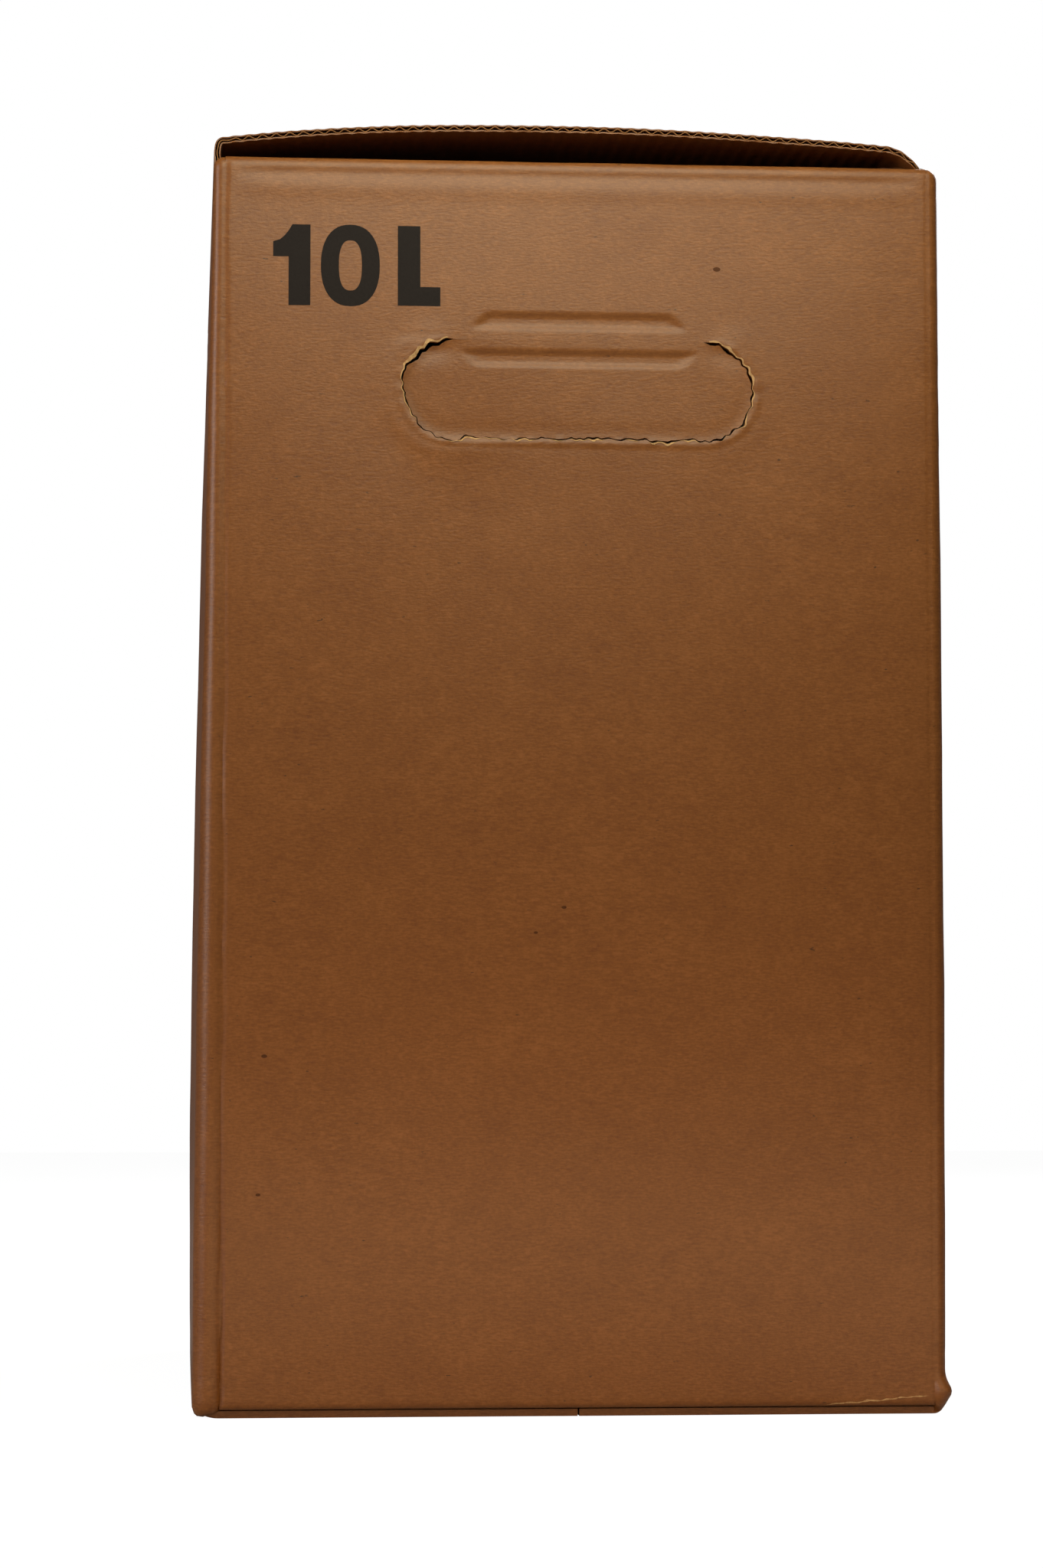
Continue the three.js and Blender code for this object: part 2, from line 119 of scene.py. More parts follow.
def between(a: Point2, b: Point2, share: float) -> Point2:
    """The point at a share of the way from a to b."""
    return a[0] + (b[0] - a[0]) * share, a[1] + (b[1] - a[1]) * share


def steps(*runs: tuple[float, float, float]) -> list[float]:
    """Joins runs of evenly spaced stations.

    Args:
        runs: For each run its start, its end and the widest spacing.

    Returns:
        The stations, each once.
    """
    stations = [runs[0][0]]
    for start, end, spacing in runs:
        count = max(1, math.ceil(abs(end - start) / spacing))
        stations += [start + (end - start) * (i + 1) / count for i in range(count)]
    return stations


def measured(line: Sequence[Vector]) -> tuple[Walk, float]:
    """Makes a line of points walkable by distance.

    Args:
        line: The points, in millimetres.

    Returns:
        A function from a distance to the point and the direction there, and the line's length.
    """
    lengths = [0.0]
    for a, b in zip(line, line[1:]):
        lengths.append(lengths[-1] + (b - a).length)
    tangents = []
    for i in range(len(line)):
        tangents.append((line[min(i + 1, len(line) - 1)] - line[max(i - 1, 0)]).normalized())

    def at(distance: float) -> tuple[Vector, Vector]:
        """Finds a place on the line.

        Args:
            distance: Millimetres from the line's start.

        Returns:
            The point and the direction there.
        """
        distance = min(max(distance, 0.0), lengths[-1])
        i = next(n for n in range(1, len(lengths)) if lengths[n] >= distance)
        share = (distance - lengths[i - 1]) / (lengths[i] - lengths[i - 1])
        return line[i - 1].lerp(line[i], share), tangents[i - 1].lerp(tangents[i], share).normalized()

    return at, lengths[-1]


def sheet_faces(lines: int, count: int, closed: bool = False, flip: bool = False) -> list[tuple[int, ...]]:
    """Joins lines of as many points into a sheet.

    Args:
        lines: How many lines follow each other.
        count: How many points each line has.
        closed: Whether each line's last point joins its first.
        flip: Whether the faces look to the other side.

    Returns:
        The faces, line by line.
    """
    faces = []
    for line in range(lines - 1):
        for i in range(count if closed else count - 1):
            a, b = line * count + i, line * count + (i + 1) % count
            faces.append((a, a + count, b + count, b) if flip else (a, b, b + count, a + count))
    return faces


def make_piece(name: str, points: Sequence[Vector], faces: Sequence[Sequence[int]]) -> bpy.types.Object:
    """Makes a mesh object and links it to the scene.

    Args:
        name: The piece's name.
        points: Its points in metres.
        faces: The numbers of each face's points, anticlockwise from outside.

    Returns:
        The piece.
    """
    mesh = bpy.data.meshes.new(name)
    mesh.from_pydata([tuple(p) for p in points], [], [tuple(f) for f in faces])
    mesh.validate()
    mesh.update()
    piece = bpy.data.objects.new(name, mesh)
    bpy.context.scene.collection.objects.link(piece)
    return piece


def apply_modifiers(piece: bpy.types.Object) -> None:
    """Turns what a piece's modifiers make into its mesh.

    Args:
        piece: The piece.
    """
    graph = bpy.context.evaluated_depsgraph_get()
    mesh = bpy.data.meshes.new_from_object(piece.evaluated_get(graph))
    piece.modifiers.clear()
    piece.data = mesh


def thicken(piece: bpy.types.Object, thickness: float, offset: float = -1.0) -> None:
    """Gives a skin its thickness.

    Args:
        piece: The skin.
        thickness: Its thickness in millimetres.
        offset: -1 to grow inwards, 1 to grow outwards.
    """
    shell = piece.modifiers.new("board", "SOLIDIFY")
    shell.thickness = thickness * MM
    shell.offset = offset
    shell.use_even_offset = True
    apply_modifiers(piece)


def prism(name: str, outline: Sequence[Point2], side: Side, reach: float, half: float) -> bpy.types.Object:
    """Makes a closed cutter that stands through a wall.

    Args:
        name: The cutter's name.
        outline: Points along and up the wall, in millimetres, anticlockwise from outside.
        side: The wall.
        reach: The distance of the wall's face from the model's axis.
        half: How far the cutter stands out on either side of the face.

    Returns:
        The cutter.
    """
    count = len(outline)
    points = [side.place(u, depth, z) for depth in (reach + half, reach - half) for u, z in outline]
    faces = [tuple(range(count)), tuple(reversed(range(count, 2 * count)))]
    return make_piece(name, points, faces + sheet_faces(2, count, closed=True, flip=True))


def merge(cutters: Sequence[bpy.types.Object]) -> bpy.types.Object:
    """Makes one cutter of several that lie apart, and removes them.

    Args:
        cutters: The cutters.

    Returns:
        The cutter that stands for them all.
    """
    points: list[Vector] = []
    faces: list[tuple[int, ...]] = []
    for cutter in cutters:
        start = len(points)
        points += [vertex.co.copy() for vertex in cutter.data.vertices]
        faces += [tuple(start + i for i in face.vertices) for face in cutter.data.polygons]
        bpy.data.objects.remove(cutter, do_unlink=True)
    return make_piece("cutter", points, faces)


def cut_with(piece: bpy.types.Object, cutter: bpy.types.Object, operation: str) -> None:
    """Cuts a piece and removes the cutter.

    Args:
        piece: The piece.
        cutter: What cuts it.
        operation: DIFFERENCE to take the cutter away, INTERSECT to keep what they share.
    """
    boolean = piece.modifiers.new("cut", "BOOLEAN")
    boolean.operation = operation
    boolean.object = cutter
    boolean.solver = "EXACT"
    apply_modifiers(piece)
    bpy.data.objects.remove(cutter, do_unlink=True)


def shade_smooth(piece: bpy.types.Object, angle: float = 40.0) -> None:
    """Smooths a piece's shading but for edges sharper than the angle in degrees."""
    piece.data.shade_smooth()
    piece.data.set_sharp_from_angle(angle=math.radians(angle))


def dress(piece: bpy.types.Object, slot: str, body: str, *materials: bpy.types.Material) -> None:
    """Gives a piece its materials and the body it rides on, and reports it.

    Args:
        piece: The piece.
        slot: Not used.
        body: The moving body, or the carton itself.
        materials: Its materials, or none where it has them already.
    """
    for material in materials:
        piece.data.materials.append(material)
    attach(piece, body)
    LOG.info("%s: %d faces on %s", piece.name, len(piece.data.polygons), body)


def to_linear(colour: str) -> tuple[float, float, float, float]:
    """Turns a written colour into the one that a shader takes.

    Args:
        colour: An sRGB hex value such as #A9753F.

    Returns:
        Linear red, green and blue, and alpha.
    """
    parts = [int(colour[i : i + 2], 16) / 255 for i in (1, 3, 5)]
    red, green, blue = [c / 12.92 if c <= 0.04045 else ((c + 0.055) / 1.055) ** 2.4 for c in parts]
    return red, green, blue, 1.0


def add_node(
    tree: bpy.types.NodeTree, kind: str, settings: dict | None = None, inputs: dict | None = None
) -> bpy.types.Node:
    """Adds a node to a tree.

    Args:
        tree: The material's or world's node tree.
        kind: The node's type name.
        settings: Attribute values.
        inputs: For each input, a value or the output socket that feeds it.

    Returns:
        The node.
    """
    node = tree.nodes.new(kind)
    for key, value in (settings or {}).items():
        setattr(node, key, value)
    for key, value in (inputs or {}).items():
        if isinstance(value, bpy.types.NodeSocket):
            tree.links.new(value, node.inputs[key])
        else:
            node.inputs[key].default_value = value
    return node


def new_material(name: str) -> tuple[bpy.types.Material, bpy.types.NodeTree, bpy.types.Node]:
    """Makes a material with nothing but its shader.

    Args:
        name: The material's name.

    Returns:
        The material, its node tree and its Principled shader.
    """
    material = bpy.data.materials.new(name)
    material.use_nodes = True
    tree = material.node_tree
    tree.nodes.clear()
    shader = add_node(tree, "ShaderNodeBsdfPrincipled")
    add_node(tree, "ShaderNodeOutputMaterial", inputs={"Surface": shader.outputs["BSDF"]})
    return material, tree, shader


@dataclass(frozen=True)
class KraftLiner:
    """Unbleached kraft liner, rolled on a paper machine, so its fibres lie along the web.

    That gives the eye a fine level grain over soft clouds, a dull sheen from the rollers, and a dark
    fleck of bark here and there. The grain's sizes are in millimetres.
    """

    name: str = "unbleached_kraft_liner"
    dark: str = "#643616"
    mid: str = "#70401A"
    light: str = "#804C24"
    fleck: str = "#472A15"
    fibre_length: float = 1.6
    fibre_width: float = 0.45  # a real fibre measures about 0.03; drawn coarser to show in the render
    grit: float = 1.6  # size of the grit between the fibres, in fibre widths
    cloud: float = 6.0  # where the fibres lie thicker or thinner
    blotch: float = 30.0  # where the whole web is a shade darker or lighter
    fleck_size: float = 1.6  # bark flecks measure 0.5 to 2
    tooth: float = 0.13  # height of the fibres
    roughness: float = 0.4
    specular: float = 0.3

    def material(self) -> bpy.types.Material:
        """Builds the liner with its grain, clouds and flecks.

        Returns:
            The material.
        """
        material, tree, shader = new_material(self.name)
        coords = add_node(tree, "ShaderNodeTexCoord").outputs["Object"]
        per_mm = 1 / MM

        def grain(length: float, width: float, detail: float) -> bpy.types.NodeSocket:
            """Draws noise out level.

            Args:
                length: How long its lumps are, in millimetres.
                width: How high they are.
                detail: How many finer layers it has.

            Returns:
                The noise's value.
            """
            scale = (per_mm / length, per_mm / length, per_mm / width)
            scaled = add_node(tree, "ShaderNodeMapping", inputs={"Vector": coords, "Scale": scale})
            lumps = {"Vector": scaled.outputs["Vector"], "Scale": 1.0, "Detail": detail, "Roughness": 0.6}
            return add_node(tree, "ShaderNodeTexNoise", inputs=lumps).outputs["Fac"]

        sums = [grain(self.fibre_length, self.fibre_width, 3.0)]
        grit = self.fibre_width * self.grit
        for length, width, detail, weight in (
            (grit, grit, 2.0, 0.45),
            (self.cloud, self.cloud * 0.85, 4.0, 0.4),
            (self.blotch, self.blotch * 0.8, 3.0, 0.3),
        ):
            layer = grain(length, width, detail)
            added = add_node(
                tree, "ShaderNodeMath", {"operation": "MULTIPLY_ADD"}, {0: layer, 1: weight, 2: sums[-1]}
            )
            sums.append(added.outputs[0])
        shade = add_node(
            tree, "ShaderNodeMapRange", inputs={"Value": sums[-1], "From Min": 0.75, "From Max": 1.4}
        )
        ramp = add_node(tree, "ShaderNodeValToRGB", inputs={"Fac": shade.outputs["Result"]})
        stops = ramp.color_ramp.elements
        stops[0].color = to_linear(self.dark)
        stops[1].color = to_linear(self.light)
        stops.new(0.5).color = to_linear(self.mid)
        flecks = grain(self.fleck_size * 1.7, self.fleck_size * 0.7, 2.0)
        speck = add_node(
            tree, "ShaderNodeMapRange", inputs={"Value": flecks, "From Min": 0.725, "From Max": 0.78}
        )
        colour = add_node(
            tree,
            "ShaderNodeMix",
            {"data_type": "RGBA"},
            {"Factor": speck.outputs["Result"], 6: ramp.outputs["Color"], 7: to_linear(self.fleck)},
        )
        height = add_node(
            tree, "ShaderNodeBump", inputs={"Height": sums[1], "Strength": 0.5, "Distance": self.tooth * MM}
        )
        tree.links.new(colour.outputs[2], shader.inputs["Base Color"])
        tree.links.new(height.outputs["Normal"], shader.inputs["Normal"])
        shader.inputs["Roughness"].default_value = self.roughness
        shader.inputs["Specular IOR Level"].default_value = self.specular
        return material


@dataclass(frozen=True)
class Plain:
    """A finish with one mottled colour and a fine bump. Grain and bump are in millimetres."""

    name: str
    low: str
    high: str
    grain: float
    roughness: float
    bump: float = 0.05
    specular: float = 0.5
    alpha: float = 1.0
    coat: float = 0.0

    def material(self) -> bpy.types.Material:
        """Builds the finish from a noise between its two colours.

        Returns:
            The material.
        """
        material, tree, shader = new_material(self.name)
        coords = add_node(tree, "ShaderNodeTexCoord").outputs["Object"]
        speckle = add_node(
            tree,
            "ShaderNodeTexNoise",
            inputs={"Vector": coords, "Scale": 1 / (self.grain * MM), "Detail": 3.0},
        ).outputs["Fac"]
        colour = add_node(
            tree,
            "ShaderNodeMix",
            {"data_type": "RGBA"},
            {"Factor": speckle, 6: to_linear(self.low), 7: to_linear(self.high)},
        )
        height = add_node(
            tree, "ShaderNodeBump", inputs={"Height": speckle, "Strength": 0.3, "Distance": self.bump * MM}
        )
        tree.links.new(colour.outputs[2], shader.inputs["Base Color"])
        tree.links.new(height.outputs["Normal"], shader.inputs["Normal"])
        shader.inputs["Roughness"].default_value = self.roughness
        shader.inputs["Specular IOR Level"].default_value = self.specular
        shader.inputs["Alpha"].default_value = self.alpha
        shader.inputs["Coat Weight"].default_value = self.coat
        return material


# Torn board shows its loose inner fibres, paler and rougher than the rolled liner. A tuft measures
# about 0.7 mm.
TORN_FIBRE = Plain("torn_kraft_fibre", "#7A4D2C", "#C49C6E", 0.7, 0.95, bump=0.2, specular=0.1)
# The waved medium between the liners is recycled paper, duller and darker than they are.
FLUTING = Plain("fluting_medium_paper", "#5E3A20", "#80542F", 0.9, 0.9, bump=0.08, specular=0.2)
# Water-based flexographic ink sinks into the liner, so it dries matt and lets some grain through.
INK = Plain("black_flexographic_ink", "#18110F", "#211916", 0.6, 0.7, bump=0.05, specular=0.1)
# Bark that went through the paper mill leaves dull dark specks.
SPECK = Plain("bark_speck", "#3A1F10", "#59331A", 0.5, 0.9, bump=0.05, specular=0.2)
# Polypropylene packing tape is extruded clear with a glossy back. Its adhesive makes it faintly milky.
TAPE = Plain("polypropylene_tape", "#D5D8D6", "#E9ECEA", 14.0, 0.12, bump=0.03, alpha=0.06)
# Polyethylene film is blown in layers, so it is glossy, slightly milky and softly rumpled.
FILM = Plain("polyethylene_film", "#AEB6BC", "#D2D8DC", 22.0, 0.22, bump=0.6, coat=0.3)
# The spout, tap and lever are injection-moulded, which leaves them even and half glossy.
SPOUT = Plain("moulded_natural_polyethylene", "#DCDCD4", "#E8E8E2", 3.0, 0.42)
TAP = Plain("moulded_black_polypropylene", "#1B1B1D", "#232326", 3.0, 0.38)
LEVER = Plain("moulded_red_polypropylene", "#A21D22", "#B0262A", 3.0, 0.36)


@dataclass
class Board:
    """The folded blank's driving sizes in millimetres."""

    thickness: float = 1.7
    liner: float = 0.3
    medium: float = 0.26
    pitch: float = 3.3  # from flute to flute
    corner: float = 2.8  # radius of the upright corners
    fold: float = 2.6  # radius of the folds
    gap: float = 0.3  # between folded layers
    tight_fold: float = 4.0  # the narrow panels' bottom folds are pressed square by the weight: 2 is round
    square_foot: float = 3.2  # the corners' feet are pressed nearly as square
    height: float = 300.0  # to the top of the narrow panels' folds
    minor_length: float = 84.0
    bottom_seam: float = 0.4
    slot: float = 3.0  # from a corner to the side edge of a flap
    width: float = field(init=False)
    depth: float = field(init=False)

    def __post_init__(self) -> None:
        """Takes the carton's outside sizes from the frame."""
        low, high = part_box("carton")
        self.width = (high[0] - low[0]) / MM
        self.depth = (high[1] - low[1]) / MM

    def half_span(self, side: Side) -> float:
        """Half of a wall's flat width, between its rounded corners."""
        return (self.width if side.narrow else self.depth) / 2 - self.corner

    def reach(self, side: Side) -> float:
        """Distance of a wall's face from the model's axis."""
        return (self.depth if side.narrow else self.width) / 2

    @property
    def ring_top(self) -> float:
        """Height at which the walls end and the folds begin."""
        return self.height - self.fold

    @property
    def ring_bottom(self) -> float:
        """Height at which the narrow walls turn into their bottom flaps."""
        return self.thickness + self.gap + self.fold

    @property
    def middle_radius(self) -> float:
        """Radius of a fold along the board's middle."""
        return self.fold - self.thickness / 2


@dataclass(frozen=True)
class Ridge:
    """A rounded ridge in the board, or a groove where its height is below 0, in millimetres."""

    height: float
    place: float
    width: float

    def at(self, value: float, base: float = 0.0) -> float:
        """How far the board stands out at a value, with the ridge's place counted from base."""
        return self.height * hump(value, base + self.place, self.width)


@dataclass(frozen=True)
class Swelling:
    """A soft rise of a panel beside its hand hole, in millimetres from the hinge and the middle."""

    height: float
    rise: float
    rise_width: float
    along: float
    along_width: float

    def at(self, along: float, rise: float) -> float:
        """How far the panel stands out at a place along it and over the hinge."""
        over = self.height * hump(rise, self.rise, self.rise_width)
        return over * hump(along, self.along, self.along_width)


@dataclass
class HandHole:
    """A hand hole's torn outline and its creases, in millimetres on its panel."""

    hinge: float = 256.0
    width: float = 84.0
    height: float = 24.0
    clearance: float = 0.2  # half of the cut's width
    tear: float = 0.85  # how far the tear strays
    # The tear's waviness: the weight, place in the noise and length of its lumps.
    waves: tuple[tuple[float, float, float], ...] = ((1.0, 0, 2.6), (0.5, 9, 1.2), (0.5, 5, 7))
    gape: float = 0.28  # how much wider it stands open beside the crease's ends
    gape_place: float = 6.0
    gape_length: float = 4.6
    stations: int = 300
    spacing: float = 0.45  # from one station to the next, for the pale rim
    rim_near: float = 0.02
    rim_far: float = 0.36
    crease_depth: float = 0.62
    crease_half_height: float = 1.55
    crease_soft: float = 0.75
    crease_end: float = 1.3
    upper_rise: float = 4.6
    upper_half: float = 23.5
    lower_drop: float = 4.4
    lower_half: float = 26.0
    end_slope: float = 0.9
    swellings: tuple[Swelling, ...] = (
        Swelling(0.3, -26.5, 2.6, -27, 9),
        Swelling(0.2, 1.5, 2.5, -36, 4.5),
        Swelling(0.16, 1.0, 2.5, 38, 4.5),
    )

    @property
    def radius(self) -> float:
        """Radius of the hole's round ends."""
        return self.height / 2

    @property
    def straight(self) -> float:
        """Half of the length between the centres of its round ends."""
        return self.width / 2 - self.radius

    @property
    def middle(self) -> float:
        """Height of those centres."""
        return self.hinge - self.radius

    def walk(self, distance: float) -> tuple[Point2, Point2]:
        """Follows the smooth outline from the left end of the crease, round below, to the right end.

        Args:
            distance: How far to walk.

        Returns:
            The centre that the outline keeps its radius from, and the direction outwards.
        """
        arc = math.pi * self.radius
        if distance < arc:
            angle = QUARTER + distance / self.radius
            return (-self.straight, self.middle), (math.cos(angle), math.sin(angle))
        if distance < arc + 2 * self.straight:
            return (-self.straight + distance - arc, self.middle), (0.0, -1.0)
        angle = -QUARTER + (distance - arc - 2 * self.straight) / self.radius
        return (self.straight, self.middle), (math.cos(angle), math.sin(angle))

    def cut_line(self, offset: float, gape: float, seed: float) -> list[Point2]:
        """Follows the tear from the left end of the crease, round below, to the right end.

        Args:
            offset: How far outside the cut's middle the line lies.
            gape: How much further it lies where the tear gapes.
            seed: Where in the noise this tear lies.

        Returns:
            The outline, anticlockwise from outside, closed along the crease.
        """
        total = 2 * math.pi * self.radius + 2 * self.straight
        line = []
        for i in range(self.stations + 1):
            s = total * i / self.stations
            base, out = self.walk(s)
            ends = min(s, total - s)
            settle = fade(2.0 - ends, 2.0)
            rough = sum(weight * ripple(s, seed, z, scale) for weight, z, scale in self.waves)
            mouth = gape * hump(ends, self.gape_place, self.gape_length) * (1.0 if s < total / 2 else 0.6)
            mouth += offset * 0.9 * ripple(s, seed, 31, 1.9)
            grow = self.radius + (offset + mouth) * min(ends / 1.5, 1) + self.tear * rough * settle
            line.append((base[0] + out[0] * grow, base[1] + out[1] * grow))
        return line

    def rim_share(self, number: int, count: int, seed: float) -> float:
        """How much of the rim's width shows at a station of the tear, most beside its ends.

        Args:
            number: The station's number.
            count: How many stations there are.
            seed: Where in the noise this tear lies.

        Returns:
            The share of the width.
        """
        ends = min(number, count - 1 - number) * self.spacing
        share = min(max(0.45 + 1.5 * ripple(number * self.spacing, seed, 70, 3.0), 0.0), 1.0)
        return share + (1.5 if number < count / 2 else 0.9) * hump(ends, 8.5, 5.0)

    def rim(self, seed: float) -> list[Cell]:
        """Lays out the pale paper that shows here and there along the panel's side of the tear.

        Args:
            seed: Where in the noise this tear lies.

        Returns:
            Its cells.
        """
        near = self.cut_line(self.clearance + self.rim_near, self.gape, seed)
        far = self.cut_line(self.clearance + self.rim_far, self.gape, seed)
        cells = []
        for i in range(3, len(near) - 4):
            share, following = (self.rim_share(j, len(near), seed) for j in (i, i + 1))
            if share + following >= 0.3:
                edge = between(near[i], far[i], share), between(near[i + 1], far[i + 1], following)
                cells.append([near[i + 1], edge[1], edge[0], near[i]])
        return cells


@dataclass
class Relief:
    """How far each wall stands out of its flat place, in millimetres, as filled and handled board does."""

    board: Board
    hole: HandHole
    bulge: dict[Side, float] = field(
        default_factory=lambda: {Side.FRONT: 2.6, Side.RIGHT: 2.2, Side.REAR: 2.4, Side.LEFT: 1.0}
    )
    belly: float = 0.42  # height of the widest place, as a share of the carton's
    edge_swell: float = 0.55
    left_lean: float = 3.6
    warp: float = 0.22
    dimple: float = 0.07
    joint_depth: float = 1.1  # of the groove where the blank's two ends meet
    joint_half: float = 0.35
    joint_inset: float = 0.6
    fold_groove: Ridge = Ridge(-0.34, -4.0, 1.5)  # from the top fold down
    fold_ridge: Ridge = Ridge(0.16, -7.6, 2.2)
    score_width: float = 0.6  # of the left corner's score
    score_depth: float = 0.35
    score_give: float = 0.6  # how much deeper it is near the ground
    score_height: float = 38.0
    right_score: Ridge = Ridge(-0.12, 0.2, 0.5)
    lip: Ridge = Ridge(0.34, 0.9, 0.8)  # the paper that stands up along the tear, from the tear outwards
    bead: Ridge = Ridge(0.32, 3.4, 2.6)
    sink: Ridge = Ridge(-0.1, -2.0, 1.6)

    def channel(self, along: float, up: float, centre: float, half: float, slope: float) -> float:
        """Presses a crease: a flat-bottomed channel with slanting ends.

        Args:
            along: Where on the panel, from its middle.
            up: How high.
            centre: The crease's height.
            half: Half of its length.
            slope: How much its ends slant.

        Returns:
            Its depth at that place.
        """
        hole = self.hole
        across = fade(abs(up - centre) - hole.crease_half_height, hole.crease_soft)
        return hole.crease_depth * across * fade(abs(along) - half - slope * (up - centre), hole.crease_end)

    def out(self, side: Side, along: float, up: float) -> float:
        """Works out how far a wall's face stands out.

        Args:
            side: The wall.
            along: Where on it, from its middle to the right.
            up: How high.

        Returns:
            Millimetres outwards.
        """
        board = self.board
        half = board.half_span(side)
        share = min(max(up / board.height, 0.0), 1.0)
        swell = math.sin(math.pi * share ** (math.log(0.5) / math.log(self.belly)))
        across = max(0.0, 1 - (along / half) ** 2)
        value = self.bulge[side] * swell * across**0.85
        value += self.edge_swell * swell
        if side is Side.LEFT:
            value += self.left_lean * (1 - share)
        settle = fade(board.ring_bottom + 10 - up, 8) * fade(up - board.ring_top + 10, 8)
        x, y = side.value
        for height, scale in ((self.warp, 42), (self.dimple, 13)):
            value += height * ripple(along, up, 7 * x + 3 * y, scale) * settle
        if side.narrow:
            value += self.panel_marks(along, up)
        elif side is Side.RIGHT:
            joint = board.depth / 2 - board.corner - self.joint_inset
            value -= self.joint_depth * fade(abs(along - joint) - self.joint_half, self.joint_half)
        return value

    def panel_marks(self, along: float, up: float) -> float:
        """Adds a narrow panel's creases, the ridge under its fold and the score lines at its corners.

        Args:
            along: Where on the panel, from its middle.
            up: How high.

        Returns:
            How far they make it stand out.
        """
        board, hole = self.board, self.hole
        half = board.half_span(Side.FRONT)
        inside = fade(abs(along) - half + 5, 3)
        value = -self.channel(along, up, hole.hinge + hole.upper_rise, hole.upper_half, -hole.end_slope)
        value -= self.channel(along, up, hole.hinge - hole.lower_drop, hole.lower_half, hole.end_slope)
        value += self.fold_groove.at(up, board.height) * inside
        value += self.fold_ridge.at(up, board.height) * inside
        for swelling in hole.swellings:
            value += swelling.at(along, up - hole.hinge)
        value += self.torn_lip(along, up)
        # The left corner's score gives way most near the ground, and wanders.
        depth = self.score_depth + self.score_give * fade(up - self.score_height, 30)
        stray = 0.3 * ripple(0, up, 3, 3.0) + 0.6 * ripple(0, up, 5, 17.0)
        value -= depth * hump(along, -half + 0.1 + stray, self.score_width)
        value += self.right_score.at(along, half)
        return value

    def torn_lip(self, along: float, up: float) -> float:
        """Raises the crumpled paper on both sides of the hand hole's tear.

        Args:
            along: Where on the panel, from its middle.
            up: How high.

        Returns:
            How far it stands out.
        """
        hole = self.hole
        away = math.hypot(max(abs(along) - hole.straight, 0.0), up - hole.middle) - hole.radius
        if up > hole.hinge + 2 or abs(away) > 8:
            return 0.0
        ends = fade(up - hole.hinge, 1.5)
        if up > hole.middle:
            ends *= fade(hole.straight + 1.5 - abs(along), 1.5)
        crumple = 1 + 0.9 * ripple(along, up, 2, 2.4)
        bead = self.bead.at(away) * (0.3 + 0.7 * fade(along + 20, 14))
        return (self.lip.at(away) * crumple + bead + self.sink.at(away)) * ends


